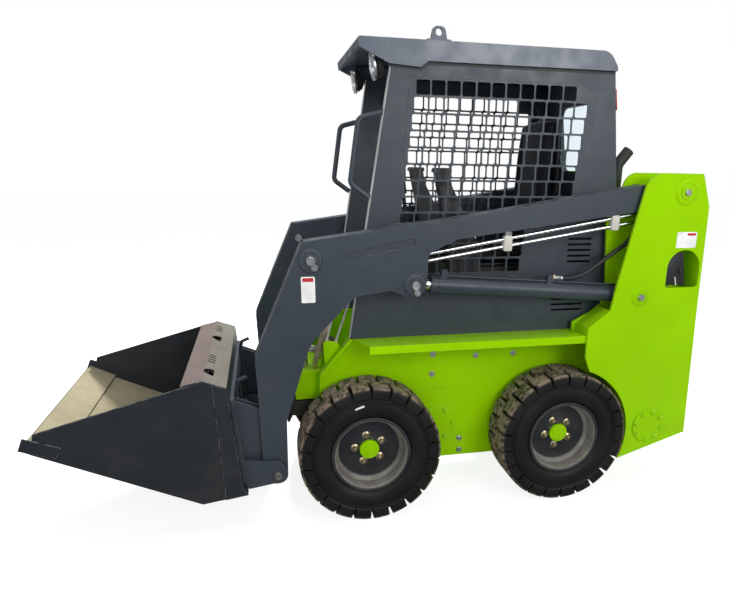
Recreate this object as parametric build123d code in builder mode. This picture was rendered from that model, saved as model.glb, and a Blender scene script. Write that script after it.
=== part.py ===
import os
from math import atan2, cos, degrees, hypot, pi, radians, sin

from build123d import *

# Compact wheeled skid steer loader, millimetres.
# The frame stands on the ground at Z = 0, +X forward, +Y to the machine's left, centred on its outline.
# Profiles are drawn in side view with x counted from the front axle and z from the ground.

# Overall sizes
REACH_FRONT = 1264.0
REACH_REAR = 1463.0
FRONT_AXLE_X = (REACH_REAR - REACH_FRONT) / 2
SEAT_GAP = 0.3

# Wheels and axles
WHEELBASE = 850.0
TYRE_RADIUS = 292.0
TYRE_WIDTH = 182.0
TRACK_OUT = 472.0
LUG_COUNT = 22
LUG_SHARE = 0.86
DISH_SIDES = 3 * LUG_COUNT // 2
GROOVE_RADIUS = 264.0
SHOULDER_RADIUS = 240.0
SIDEWALL_RADIUS = 200.0
SIDEWALL_DISH = 4.0
RIM_LIP_RADIUS = 163.0
RIM_BORE_RADIUS = 143.0
RIM_WALL = 6.0
DISC_THICK = 10.0
DISC_SETBACK = 82.0
HUB_RADIUS = 44.0
SPINDLE_RADIUS = 25.0
SPINDLE_CLEARANCE = 0.05
HOUSING_RADIUS = 55.0
HUB_GAP = 14.0

# Chassis, its sides inside the tyres
TYRE_GAP = 20.0
CHASSIS_HALF = TRACK_OUT - TYRE_WIDTH - TYRE_GAP
PLATE = 10.0
DECK_Z = 742.0
BELLY_Z = 165.0
FOOTWELL_Z = 480.0
FOOTWELL_BACK = -330.0
FOOTWELL_HALF = CHASSIS_HALF - 2 * PLATE
FENDER_FRONT = 0.0
FENDER_FLANGE = 32.0
FENDER_PLATE = 8.0
STEP_HALF = CHASSIS_HALF - 35
COVER_RADIUS = 84.0
COVER_THICK = 6.0

# Loader towers, outer faces a little inside the tyres' sides, the arms between their plates
TOWER_OUT = TRACK_OUT - 27
TOWER_PLATE = 12.0
ARM_GAP = 11.0
ARM_WIDTH = 82.0
ARM_OUT = TOWER_OUT - TOWER_PLATE - ARM_GAP
ARM_IN = ARM_OUT - ARM_WIDTH
TOWER_IN = ARM_IN - 6 - TOWER_PLATE
TOWER_TOP = 1410.0
TOWER_REAR = 1441.0
CUT_REAR = -TOWER_REAR - 60
WELL_RADIUS = 310.0
WELL_PLATE = 8.0

# Pivots in side view, x from the front axle
BOOM_PIVOT = (-1316.0, 1335.0)
LIFT_BASE = (-1156.0, 904.0)
LIFT_EYE = (-182.0, 978.0)
TILT_BASE = (218.0, 1082.0)
TILT_EYE = (440.0, 466.0)
BUCKET_PIVOT = (374.0, 230.0)
PIN_CLEARANCE = 0.05

# Loader arms
ARM_PLATE = 10.0
BOOM_PIN_RADIUS = 28.0
PIN_RADIUS = 18.0
BUCKET_PIN_RADIUS = 22.0
BOSS_RADIUS = 38.0
DOUBLER_STEP = 3.0
GROOVE_DEPTH = 6.0
CROSS_X = 345.0

TUBE_Y = ARM_OUT - 22
TUBE_RADIUS = 7.0

# Cylinders
LIFT_BARREL_RADIUS = 33.0
LIFT_ROD_RADIUS = 19.0
LIFT_BARREL_LENGTH = 906.0
TILT_BARREL_RADIUS = 25.0
TILT_ROD_RADIUS = 15.0
TILT_BARREL_LENGTH = 500.0
LIFT_EYE_WIDTH = 40.0
LIFT_PORTS = (398.0, 855.0)
PORT_HEIGHT = 30.0
PORT_LENGTH = 24.0
PORT_SINK = 6.0
PIPE_RADIUS = 4.5
HOSE_RADIUS = 9.0
GLAND_LENGTH = 26.0
BORE_START = 60.0
ROD_START = 90.0
TILT_EYE_WIDTH = 26.0

# Cab
CAB_HALF = TOWER_IN - 20
CAB_WALL = 28.0
CAB_REAR = -1077.0
ROOF_TOP = 1869.0
ROOF_SKIRT = ROOF_TOP - 72
ROOF_HALF = CAB_HALF + 14
ROOF_WALL = 24.0
ROOF_SIDE = 14.0
GRILLE_THICK = 5.0
GRILLE_PITCH = 60.2
GRILLE_HOLE = 54.0
GRILLE_ROW = 61.5
GRILLE_CORNER = 5.0
CONSOLE_OUT = CAB_HALF - CAB_WALL - 19
CONSOLE_WIDTH = 60.0
SEAT_BASE_HALF = CONSOLE_OUT - CONSOLE_WIDTH - 5

# Bucket
BUCKET_HALF = 481.0
BUCKET_SIDE = 9.0
BUCKET_SKIN = 8.0
COUPLER_HALF = ARM_OUT + 16
COUPLER_PLATE = 14.0
LATCH_Y = ARM_IN - 40
LATCH_RADIUS = 8.0
EDGE_PLATE_X = 1140.0
DOUBLER = 4.0


def side_plane(y):
    """Side view at this distance left of the centre line."""
    return Plane(origin=(FRONT_AXLE_X, y, 0), x_dir=(1, 0, 0), z_dir=(0, -1, 0))


def deck_plane(z):
    """Plan view at this height, x counted from the front axle."""
    return Plane(origin=(FRONT_AXLE_X, 0, z), x_dir=(1, 0, 0), z_dir=(0, 0, 1))


def cross_plane(x):
    """Front view at this distance ahead of the front axle, drawn in y and z."""
    return Plane(origin=(FRONT_AXLE_X + x, 0, 0), x_dir=(0, 1, 0), z_dir=(1, 0, 0))


def side_slab(points, outer, thick, radii=0, mode=Mode.ADD):
    """Plate with this side-view outline, from its outer face inboard."""
    with BuildSketch(side_plane(outer)) as outline:
        with BuildLine():
            FilletPolyline(*points, radius=radii, close=True)
        make_face()
    extrude(outline.sketch, amount=thick, mode=mode)


def side_disc(centre, radius, outer, thick, mode=Mode.ADD):
    """Round boss, pin or hole across the machine."""
    with BuildSketch(side_plane(outer)) as outline:
        with Locations(centre):
            Circle(radius)
    extrude(outline.sketch, amount=thick, mode=mode)


def block(x_range, y_range, z_range, mode=Mode.ADD):
    """Square-cornered block between these limits, x counted from the front axle."""
    centre = (FRONT_AXLE_X + sum(x_range) / 2, sum(y_range) / 2, sum(z_range) / 2)
    with Locations(centre):
        Box(x_range[1] - x_range[0], y_range[1] - y_range[0], z_range[1] - z_range[0], mode=mode)


def save(solid, name):
    solid.label = name
    export_step(solid, f"parts/{name}.step")


def save_pair(solid, name):
    """Write the left piece and its mirror image on the right."""
    save(solid, f"{name}_left")
    save(mirror(solid, about=Plane.XZ), f"{name}_right")


os.makedirs("parts", exist_ok=True)

# Tyres
tyre_mid = TRACK_OUT - TYRE_WIDTH / 2
half = TYRE_WIDTH / 2
rim_edge = half - 9
bead = RIM_BORE_RADIUS + RIM_WALL + SEAT_GAP
bead_half = rim_edge - RIM_WALL - SEAT_GAP


def wheel_plane(y):
    """Side view of the front wheel at this distance left of its middle, centred on the axle."""
    return Plane(origin=(FRONT_AXLE_X, tyre_mid + y, TYRE_RADIUS), x_dir=(1, 0, 0), z_dir=(0, -1, 0))


def lug_outline(turn):
    """Toothed ring of tread blocks, turned by this share of a block."""
    corners = []
    for lug in range(LUG_COUNT):
        for share, radius in (
            (0, GROOVE_RADIUS), (1 - LUG_SHARE, GROOVE_RADIUS), (1 - LUG_SHARE, TYRE_RADIUS), (1, TYRE_RADIUS)
        ):
            angle = 2 * pi * (lug + turn + share - (1 - LUG_SHARE) / 2) / LUG_COUNT - pi / 2
            corners.append((radius * cos(angle), radius * sin(angle)))
    return corners


def dish(side, outer, inner):
    """Flat-sided hollow on one side of the wheel, from its outer (distance, radius) to its inner one."""
    rings = []
    for y, radius in (outer, inner):
        place = wheel_plane(side * y)
        turns = [2 * pi * corner / DISH_SIDES for corner in range(DISH_SIDES)]
        rings.append([place.from_local_coords((radius * cos(turn), radius * sin(turn), 0)) for turn in turns])
    ends = [Face(Wire.make_polygon(ring)) for ring in rings]
    strips = [Face(Wire.make_polygon([rings[0][k - 1], rings[0][k], rings[1][k], rings[1][k - 1]]))
              for k in range(DISH_SIDES)]
    return Solid(Shell([*ends, *strips]))


# Two rows of blocks, the inner one half a block ahead, on sidewalls dished down to the rim
with BuildPart() as tyre:
    for outer, turn in ((half, 0), (0, 0.5)):
        with BuildSketch(wheel_plane(outer)) as blocks:
            with BuildLine():
                Polyline(*lug_outline(turn), close=True)
            make_face()
        extrude(blocks.sketch, amount=half)
    shoulder, sidewall = (half, SHOULDER_RADIUS), (half - SIDEWALL_DISH, SIDEWALL_RADIUS)
    for side in (1, -1):
        add(dish(side, shoulder, sidewall), mode=Mode.SUBTRACT)
        add(dish(side, sidewall, (bead_half, RIM_LIP_RADIUS + 3)), mode=Mode.SUBTRACT)
    with BuildSketch(wheel_plane(half)) as bore:
        RegularPolygon(bead, DISH_SIDES, major_radius=False)
    extrude(bore.sketch, amount=TYRE_WIDTH, mode=Mode.SUBTRACT)

# Rims, drawn as half a section in distance along the axle and radius
disc_face = half - DISC_SETBACK
hub_back = disc_face - 30
with BuildPart() as rim:
    with BuildSketch(Plane(origin=(FRONT_AXLE_X, tyre_mid, TYRE_RADIUS), x_dir=(0, 1, 0), z_dir=(1, 0, 0))):
        with BuildLine():
            Polyline(
                (-rim_edge, RIM_BORE_RADIUS), (-rim_edge, RIM_LIP_RADIUS),
                (-rim_edge + RIM_WALL, RIM_LIP_RADIUS), (-rim_edge + RIM_WALL, RIM_BORE_RADIUS + RIM_WALL),
                (rim_edge - RIM_WALL, RIM_BORE_RADIUS + RIM_WALL), (rim_edge - RIM_WALL, RIM_LIP_RADIUS),
                (rim_edge, RIM_LIP_RADIUS), (rim_edge, RIM_BORE_RADIUS),
                (disc_face + 14, RIM_BORE_RADIUS), (disc_face, RIM_BORE_RADIUS - 14),
                (disc_face, HUB_RADIUS), (disc_face + 8, HUB_RADIUS - 4),
                (disc_face + 12, 0), (disc_face - 2, 0),
                (disc_face - 2, SPINDLE_RADIUS + SPINDLE_CLEARANCE),
                (hub_back, SPINDLE_RADIUS + SPINDLE_CLEARANCE),
                (hub_back, HUB_RADIUS), (disc_face - DISC_THICK, HUB_RADIUS),
                (disc_face - DISC_THICK, RIM_BORE_RADIUS - 20), (disc_face, RIM_BORE_RADIUS),
                close=True,
            )
        make_face()
    revolve(axis=Axis((FRONT_AXLE_X, tyre_mid, TYRE_RADIUS), (0, 1, 0)))

for end, shift in (("front", 0), ("rear", -WHEELBASE)):
    save_pair(Pos(shift, 0, 0) * tyre.part, f"tyre_{end}")
    save_pair(Pos(shift, 0, 0) * rim.part, f"rim_{end}")

# Axle ends: flange bolted to the chassis side, hub motor housing and spindle
spindle_end = tyre_mid + disc_face - 4
housing_end = tyre_mid + hub_back - HUB_GAP
with BuildPart() as axle:
    axle_steps = (
        ("flange", 80, CHASSIS_HALF, 12),
        ("housing", HOUSING_RADIUS, CHASSIS_HALF, housing_end - CHASSIS_HALF),
        ("spindle", SPINDLE_RADIUS, CHASSIS_HALF, spindle_end - CHASSIS_HALF),
    )
    for step_name, radius, start, length in axle_steps:
        side_disc((0, TYRE_RADIUS), radius, start + length, length)
    mirror(about=Plane.XZ)
for end, shift in (("front", 0), ("rear", -WHEELBASE)):
    save(Pos(shift, 0, 0) * axle.part, f"axle_{end}")

# Rear door hinge: axis place, and the ends of its barrel
DOOR_HINGE = (-TOWER_REAR - 14, 14 - CHASSIS_HALF)
DOOR_BARREL_Z = (290.0, 728.0)
DOOR_HALF = CHASSIS_HALF - 16

# Chassis: welded tub, footwell, fender ledges and tow box
TUB = ((150, BELLY_Z), (191, 475), (183, 594), (57, DECK_Z), (-TOWER_REAR, DECK_Z), (-TOWER_REAR, 255),
       (-1150, BELLY_Z))
with BuildPart() as chassis:
    side_slab(TUB, CHASSIS_HALF, 2 * CHASSIS_HALF)
    with BuildSketch(side_plane(CHASSIS_HALF - PLATE)) as hollow:
        with BuildLine():
            Polyline(*TUB, close=True)
        make_face()
        offset(amount=-PLATE)
    extrude(hollow.sketch, amount=2 * (CHASSIS_HALF - PLATE), mode=Mode.SUBTRACT)
    # Footwell and engine bay are open on top, and the rear end is open behind the door
    inside = (PLATE - CHASSIS_HALF, CHASSIS_HALF - PLATE)
    block((FOOTWELL_BACK, 200), (-FOOTWELL_HALF, FOOTWELL_HALF), (FOOTWELL_Z, DECK_Z + 1), Mode.SUBTRACT)
    block((FOOTWELL_BACK, 185), inside, (FOOTWELL_Z - PLATE, FOOTWELL_Z))
    block((FOOTWELL_BACK - PLATE, FOOTWELL_BACK), inside, (FOOTWELL_Z - PLATE, DECK_Z - PLATE))
    block((CUT_REAR, CAB_REAR - PLATE), inside, (DECK_Z - PLATE - 1, DECK_Z + 1), Mode.SUBTRACT)
    block((CUT_REAR, -TOWER_REAR + PLATE + 1), inside, (285, DECK_Z + 1), Mode.SUBTRACT)
    # Fender ledge over the wheels of each side, its front end cut back towards the cab, and its flange
    fender_out = TOWER_OUT - TOWER_PLATE
    for side in (1, -1):
        with BuildSketch(deck_plane(DECK_Z - FENDER_PLATE)) as ledge:
            with BuildLine():
                Polyline((FENDER_FRONT, side * fender_out), (46, side * CHASSIS_HALF),
                         (-TOWER_REAR, side * CHASSIS_HALF), (-TOWER_REAR, side * fender_out), close=True)
            make_face()
        extrude(ledge.sketch, amount=FENDER_PLATE)
        flange = sorted((side * (fender_out - FENDER_PLATE), side * fender_out))
        block((-TOWER_REAR, FENDER_FRONT), flange, (DECK_Z - FENDER_FLANGE, DECK_Z - FENDER_PLATE))
    # Box across the nose, at the front of the footwell
    block((180, 285), (-STEP_HALF, STEP_HALF), (FOOTWELL_Z - PLATE, 592))
    # Inspection covers between the wheels, and a folded strip along each side's slope
    for y in (CHASSIS_HALF + COVER_THICK, -CHASSIS_HALF):
        side_disc((-326, 327), COVER_RADIUS, y, COVER_THICK)
    for y in (CHASSIS_HALF + 26, -CHASSIS_HALF):
        side_slab(((57, DECK_Z), (183, 594), (176, 588), (50, 735)), y, 26)
    # Hinge brackets above and below the rear door's barrel
    for low in (DOOR_BARREL_Z[0] - SEAT_GAP - 12, DOOR_BARREL_Z[1] + SEAT_GAP):
        block((DOOR_HINGE[0] - 6, 1 - TOWER_REAR), (-CHASSIS_HALF, DOOR_HINGE[1] + 6), (low, low + 12))
save(chassis.part, "chassis")


def before_nose(z):
    """Place at this height against the chassis's front plate."""
    return (150 + (z - BELLY_Z) / (475 - BELLY_Z) * 41 + SEAT_GAP, z)


# Front step, a bent plate with a gusset at each end
with BuildPart() as front_step:
    side_slab((before_nose(462), (279, 462), (323, 373), (315, 370), (274, 454), before_nose(454)),
              STEP_HALF, 2 * STEP_HALF)
    for y in (STEP_HALF, PLATE - STEP_HALF):
        side_slab((before_nose(455), (274, 455), (300, 400), before_nose(380)), y, PLATE)
save(front_step.part, "front_step")

# Loader towers
TOWER_TOP_LINE = ((-1179, TOWER_TOP), (-1386, TOWER_TOP), (-1432, 1278), (-TOWER_REAR, 876))
TOWER_FRONT_LINE = ((-928, 779), (-1024, 850), (-1043, 963), (-1132, 1372))
TOWER_INNER_FRONT = ((-910, 782), (-994, 823), (-1043, 861), (-1053, 943), (-1029, 1209), (-1112, TOWER_TOP))
TOWER_BASE_Z = DECK_Z + SEAT_GAP
BOSS_RING = 44.0
PORT_RADIUS = 78.0
VALVE_THICK = 28.0
rear_wheel = (-WHEELBASE, TYRE_RADIUS)
box_outer = TOWER_OUT - TOWER_PLATE
with BuildPart() as tower:
    with BuildSketch(side_plane(TOWER_OUT)) as outer_plate:
        with BuildLine():
            FilletPolyline((-928, 650), *TOWER_FRONT_LINE, *TOWER_TOP_LINE, (-REACH_REAR, 261), (-1120, 156),
                           radius=[0, 0, 25, 25, 60, 45, 12, 30, 0, 0, 0], close=True)
        make_face()
        with Locations(rear_wheel):
            Circle(WELL_RADIUS, mode=Mode.SUBTRACT)
        # Arched port to the valve behind the plate
        with Locations((-1347, 1022)):
            Circle(PORT_RADIUS, mode=Mode.SUBTRACT)
        with Locations((-1347, 981)):
            RectangleRounded(2 * PORT_RADIUS, 82, 12, mode=Mode.SUBTRACT)
        with Locations((-1347, 1000)):
            Rectangle(2 * PORT_RADIUS, 44, mode=Mode.SUBTRACT)
    extrude(outer_plate.sketch, amount=TOWER_PLATE)
    side_slab(((-910, TOWER_BASE_Z), *TOWER_INNER_FRONT, *TOWER_TOP_LINE[1:], (-TOWER_REAR, TOWER_BASE_Z)),
              TOWER_IN + TOWER_PLATE, TOWER_PLATE, [0, 0, 60, 20, 30, 30, 60, 12, 30, 0, 0])
    # Bent gusset from the ledge up between the plates' front edges
    box_width = box_outer - TOWER_IN - TOWER_PLATE
    side_slab(((-928, TOWER_BASE_Z), (-928, 779), (-1024, 850), (-1030, 842), (-938, 774),
               (-938, TOWER_BASE_Z)), box_outer, box_width)
    # Wheel well liner, bottom and back close the box behind the rear wheel
    inner_depth = box_outer - CHASSIS_HALF - SEAT_GAP
    with BuildSketch(side_plane(box_outer)) as liner:
        with Locations(rear_wheel):
            Circle(WELL_RADIUS + WELL_PLATE)
            Circle(WELL_RADIUS, mode=Mode.SUBTRACT)
        with BuildLine():
            Polyline(rear_wheel, (-1160, 702), (CUT_REAR, 702), (CUT_REAR, 170), (-1125, 170), close=True)
        make_face(mode=Mode.INTERSECT)
    extrude(liner.sketch, amount=inner_depth)
    side_slab(((-REACH_REAR, 261), (-REACH_REAR, 269), (-1150, 174), (-1150, 166)), box_outer, inner_depth)
    side_slab(((-REACH_REAR, 262), (-TOWER_REAR - 8, 733), (-TOWER_REAR - SEAT_GAP, 733),
               (-REACH_REAR + 8, 262)), box_outer, inner_depth)
    # Back of the tower, bent to follow the plates' rear edges
    side_slab(((2 - TOWER_REAR, TOWER_BASE_Z), (2 - TOWER_REAR, 876), (-1430, 1279), (-1388, 1402),
               (-1380, 1399), (-1422, 1281), (10 - TOWER_REAR, 876), (10 - TOWER_REAR, TOWER_BASE_Z)),
              box_outer, box_width)
    # Valve behind the port, on the inner plate
    side_slab(((-1400, 950), (-1400, 1010), (-1360, 1030), (-1360, 1075), (-1318, 1075), (-1318, 950)),
              TOWER_IN + TOWER_PLATE + VALVE_THICK, VALVE_THICK)
    # Pins for the loader arm and the lift cylinder in their rings, and the cover low on the plate
    side_disc(BOOM_PIVOT, BOSS_RING, TOWER_OUT + 5, 5)
    side_disc(BOOM_PIVOT, BOOM_PIN_RADIUS, TOWER_OUT + 9, TOWER_OUT + 15 - TOWER_IN)
    side_disc(LIFT_BASE, BOSS_RING - 12, TOWER_OUT + 4, 4)
    side_disc(LIFT_BASE, PIN_RADIUS, TOWER_OUT + 7, TOWER_OUT + 11 - TOWER_IN)
    side_disc((-1272, 310), COVER_RADIUS - 4, TOWER_OUT + COVER_THICK, COVER_THICK)
save_pair(tower.part, "tower")

# Engine, one plain mass behind the seat
ENGINE_HALF = CHASSIS_HALF - 55
with BuildPart() as engine:
    block((-1380, -900), (-ENGINE_HALF, ENGINE_HALF), (262, 720))
    chamfer(engine.edges().filter_by(Axis.Z), length=40)
    # Feet down to the chassis floor
    for x in (-1120, -930):
        block((x - 25, x + 25), (35 - ENGINE_HALF, ENGINE_HALF - 35), (BELLY_Z + PLATE + SEAT_GAP, 264))
save(engine.part, "engine_block")

# Hood over the engine, between the towers
HOOD_Z = 1010.0
HOOD_HALF = TOWER_IN - 6
with BuildPart() as hood:
    side_slab(((CAB_REAR - SEAT_GAP, DECK_Z + SEAT_GAP), (CAB_REAR - SEAT_GAP, HOOD_Z), (-1400, HOOD_Z - 14),
               (-TOWER_REAR + 8, HOOD_Z - 60), (-TOWER_REAR + 8, DECK_Z + SEAT_GAP)), HOOD_HALF, 2 * HOOD_HALF)
    block((CUT_REAR, CAB_REAR - PLATE), (-HOOD_HALF + PLATE, HOOD_HALF - PLATE), (DECK_Z - 5, HOOD_Z - 70),
          Mode.SUBTRACT)
    # Cooling slots along the top
    with BuildSketch(deck_plane(HOOD_Z + 1)) as vents:
        with Locations(((CAB_REAR - PLATE - TOWER_REAR) / 2 - 20, 0)):
            with GridLocations(28, 260, 7, 2):
                SlotOverall(210, 12, rotation=90)
    extrude(vents.sketch, amount=-100, mode=Mode.SUBTRACT)
save(hood.part, "engine_hood")

# Rear door on side hinges
with BuildPart() as rear_door:
    block((DOOR_HINGE[0] - 6, DOOR_HINGE[0] + 6), (DOOR_HINGE[1] + 1, DOOR_HALF), DOOR_BARREL_Z)
    for row in range(7):
        z = 420 + row * 40
        block((-REACH_REAR - 9, -TOWER_REAR), (-170, 170), (z, z + 18), Mode.SUBTRACT)
    with Locations((FRONT_AXLE_X + DOOR_HINGE[0], DOOR_HINGE[1], sum(DOOR_BARREL_Z) / 2)):
        Cylinder(6, DOOR_BARREL_Z[1] - DOOR_BARREL_Z[0])
save(rear_door.part, "rear_door")

# Cab side walls, each a framed panel with the cell grille let into its outer face
CAB_BEND_Z = 1347.0
CAB_REAR_TOP = -1022.0
CAB_SIDE = ((60, DECK_Z + SEAT_GAP), (-110, ROOF_SKIRT - SEAT_GAP), (CAB_REAR_TOP, ROOF_SKIRT - SEAT_GAP),
            (CAB_REAR, CAB_BEND_Z), (CAB_REAR, DECK_Z + SEAT_GAP))
GRILLE_TOP = ROOF_SKIRT - 55
GRILLE_BOTTOM = 985.0
GRILLE_STEP_Z = 1180.0
GRILLE = ((-178, GRILLE_TOP), (-112, GRILLE_BOTTOM), (-697, GRILLE_BOTTOM), (-702, GRILLE_STEP_Z),
          (-880, GRILLE_STEP_Z), (-955, GRILLE_TOP - 62), (-895, GRILLE_TOP))
with BuildPart() as cab_side:
    side_slab(CAB_SIDE, CAB_HALF, CAB_WALL)
    side_slab(GRILLE, CAB_HALF, CAB_WALL, mode=Mode.SUBTRACT)
    for slots, x, z, length in ((5, -930, 1040, 110), (3, -890, 830, 150)):
        for row in range(slots):
            with BuildSketch(side_plane(CAB_HALF)) as louvre:
                with Locations((x, z + row * 24)):
                    SlotOverall(length, 10)
            extrude(louvre.sketch, amount=CAB_WALL, mode=Mode.SUBTRACT)
save_pair(cab_side.part, "cab_side")


def grille_rear(z):
    """The grille opening's rear edge at this height."""
    (step_x, step_z), (corner_x, corner_z), (top_x, top_z) = GRILLE[4:]
    if z < step_z:
        return GRILLE[3][0]
    if z < corner_z:
        return step_x + (z - step_z) / (corner_z - step_z) * (corner_x - step_x)
    return corner_x + (z - corner_z) / (top_z - corner_z) * (top_x - corner_x)


# Rows of square cells with nipped corners, laser cut, as many in a row as fit behind the leaning front edge
GRILLE_LEAN = 7.4
GRILLE_BORDER = 21.0
cell, cut = GRILLE_HOLE / 2, GRILLE_HOLE / 2 - GRILLE_CORNER
cell_corners = ((cell, cut), (cut, cell), (-cut, cell), (-cell, cut),
                (-cell, -cut), (-cut, -cell), (cut, -cell), (cell, -cut))
rows = int((GRILLE_TOP - 34 - GRILLE_HOLE / 2 - GRILLE_BOTTOM) / GRILLE_ROW) + 1
with BuildPart() as cab_grille:
    with BuildSketch(side_plane(CAB_HALF)) as mesh:
        with BuildLine():
            Polyline(*GRILLE, close=True)
        make_face()
        offset(amount=-SEAT_GAP, kind=Kind.INTERSECTION)
        for row in range(rows):
            x = -231 + row * GRILLE_LEAN
            z = GRILLE_TOP - 34 - row * GRILLE_ROW
            edge = max(grille_rear(z - GRILLE_HOLE / 2), grille_rear(z + GRILLE_HOLE / 2))
            cells = int((x - GRILLE_HOLE / 2 - edge - GRILLE_BORDER) / GRILLE_PITCH) + 1
            with Locations((x - (cells - 1) * GRILLE_PITCH / 2, z)):
                with GridLocations(GRILLE_PITCH, 1, cells, 1):
                    Polygon(*cell_corners, mode=Mode.SUBTRACT)
    extrude(mesh.sketch, amount=GRILLE_THICK)
save_pair(cab_grille.part, "cab_grille")

# Roof: a shallow pressed cap, its visor over the front opening
ROOF = ((17, ROOF_TOP), (14, ROOF_TOP - 34), (-18, ROOF_TOP - 49), (-99, ROOF_TOP - 86),
        (-218, ROOF_TOP - 94), (-246, ROOF_SKIRT), (-1024, ROOF_SKIRT), (-1024, ROOF_SKIRT + 15),
        (-985, ROOF_TOP))
with BuildPart() as cab_roof:
    side_slab(ROOF, ROOF_HALF, 2 * ROOF_HALF, [8, 0, 0, 0, 0, 0, 0, 0, 60])
    inner_half = ROOF_HALF - ROOF_SIDE
    block((-980, 5), (-inner_half, inner_half), (ROOF_SKIRT - 97, ROOF_TOP - ROOF_WALL), Mode.SUBTRACT)
    # Slots through the visor's skin over each lamp
    with BuildSketch(Plane(origin=(FRONT_AXLE_X, 0, ROOF_TOP + 1))) as visor_slots:
        for side in (1, -1):
            with Locations((-32, side * (ROOF_HALF - 101))):
                with GridLocations(1, 38, 1, 5):
                    SlotOverall(62, 15)
    extrude(visor_slots.sketch, amount=-ROOF_WALL - 2, mode=Mode.SUBTRACT)
save(cab_roof.part, "cab_roof")

# Rear wall with its window, and the pane in it
REAR_WINDOW = (2 * CAB_HALF - 264, 280.0, ROOF_SKIRT - 247)
WINDOW_THICK = 5.0
wall_inner = CAB_HALF - CAB_WALL - SEAT_GAP
with BuildPart() as cab_rear:
    block((CAB_REAR, CAB_REAR + CAB_WALL), (-wall_inner, wall_inner), (DECK_Z + SEAT_GAP, CAB_BEND_Z))
    side_slab(((CAB_REAR, CAB_BEND_Z), (CAB_REAR + CAB_WALL, CAB_BEND_Z),
               (CAB_REAR_TOP + CAB_WALL, ROOF_SKIRT - SEAT_GAP), (CAB_REAR_TOP, ROOF_SKIRT - SEAT_GAP)),
              wall_inner, 2 * wall_inner)
    with BuildSketch(cross_plane(CAB_REAR - 23)) as window:
        with Locations((0, REAR_WINDOW[2])):
            RectangleRounded(REAR_WINDOW[0], REAR_WINDOW[1], 45)
    extrude(window.sketch, amount=200, mode=Mode.SUBTRACT)
save(cab_rear.part, "cab_rear")

with BuildPart() as rear_window:
    with BuildSketch(cross_plane(CAB_REAR + 35)) as pane:
        with Locations((0, REAR_WINDOW[2])):
            RectangleRounded(REAR_WINDOW[0] - 2 * SEAT_GAP, REAR_WINDOW[1] - 2 * SEAT_GAP, 44)
    extrude(pane.sketch, amount=WINDOW_THICK)
save(rear_window.part, "rear_window")

# Seat base and seat
with BuildPart() as seat_base:
    block((-960, -380), (-SEAT_BASE_HALF, SEAT_BASE_HALF), (DECK_Z + SEAT_GAP, 1005))
save(seat_base.part, "seat_base")

SEAT_HALF = SEAT_BASE_HALF - 15
with BuildPart() as seat:
    side_slab(((-385, 1030), (-400, 1095), (-740, 1075), (-785, 1330), (-800, ROOF_TOP - 239),
               (-872, ROOF_TOP - 239), (-880, 1330), (-860, 1005 + SEAT_GAP), (-420, 1005 + SEAT_GAP)),
              SEAT_HALF, 2 * SEAT_HALF, [20, 25, 40, 60, 30, 30, 60, 30, 20])
save(seat.part, "seat")

# Slim pod leaning forward under a padded cap, and the drive lever ahead of it
with BuildPart() as console:
    side_slab(((-520, DECK_Z + SEAT_GAP), (-405, DECK_Z + SEAT_GAP), (-342, 1220), (-302, 1410), (-358, 1410),
               (-368, 1350), (-425, 1240), (-500, 1090)), CONSOLE_OUT, CONSOLE_WIDTH,
              [0, 0, 60, 0, 0, 40, 60, 80])
    side_slab(((-296, 1400), (-300, 1418), (-362, 1418), (-366, 1400)), CONSOLE_OUT + 4, CONSOLE_WIDTH + 8,
              [4, 8, 8, 4])
    lever_y = CONSOLE_OUT - CONSOLE_WIDTH / 2
    with BuildLine(side_plane(lever_y)) as lever_path:
        FilletPolyline((-380, 1100), (-200, 1130), (-160, 1410), radius=60)
    for place, radius, length in ((0, 8, 0), (1, 15, 95)):
        with BuildSketch(Plane(origin=lever_path.line @ place, z_dir=lever_path.line % place)) as section:
            Circle(radius)
        if length:
            extrude(section.sketch, amount=-length)
        else:
            sweep(section.sketch, path=lever_path.line)
save_pair(console.part, "control_console")

# Grab handles, one bent tube each side of the front opening
HANDLE = ((-83, ROOF_SKIRT - 179), (13, ROOF_SKIRT - 204), (48, ROOF_SKIRT - 442), (-24, ROOF_SKIRT - 493))
HANDLE_RADIUS = 11.0
HANDLE_Y = CAB_HALF - 14
with BuildPart() as grab_handles:
    with BuildLine(side_plane(HANDLE_Y)) as handle_path:
        FilletPolyline(*HANDLE, radius=30)
    with BuildSketch(Plane(origin=handle_path.line @ 0, z_dir=handle_path.line % 0)):
        Circle(HANDLE_RADIUS)
    sweep(path=handle_path.line)
    side_slab(CAB_SIDE, CAB_HALF + 20, 2 * CAB_WALL + 20, mode=Mode.SUBTRACT)
    mirror(about=Plane.XZ)
save(grab_handles.part, "grab_handles")

# Work lamps under the visor, each tipped a little down
LAMP = (-43.0, ROOF_HALF - 66, ROOF_TOP - 91)
LAMP_RADIUS = 50.0
LAMP_TIP = 9.5
with BuildPart() as work_lamps:
    lamp_front = Plane(origin=(FRONT_AXLE_X + LAMP[0], LAMP[1], LAMP[2]), x_dir=(0, 1, 0),
                       z_dir=(cos(radians(LAMP_TIP)), 0, -sin(radians(LAMP_TIP))))
    for back, radius, depth, taper in ((0, LAMP_RADIUS, 10, 0), (10, LAMP_RADIUS - 4, 34, 24)):
        with BuildSketch(lamp_front.offset(-back)) as shell:
            Circle(radius)
        extrude(shell.sketch, amount=-depth, taper=taper)
    # Bracket up to the underside of the roof skin
    bracket_top = ROOF_TOP - ROOF_WALL - SEAT_GAP
    block((LAMP[0] - 22, LAMP[0] - 14), (LAMP[1] - 15, LAMP[1] + 15), (LAMP[2], bracket_top))
    mirror(about=Plane.XZ)
save(work_lamps.part, "work_lamps")

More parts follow.
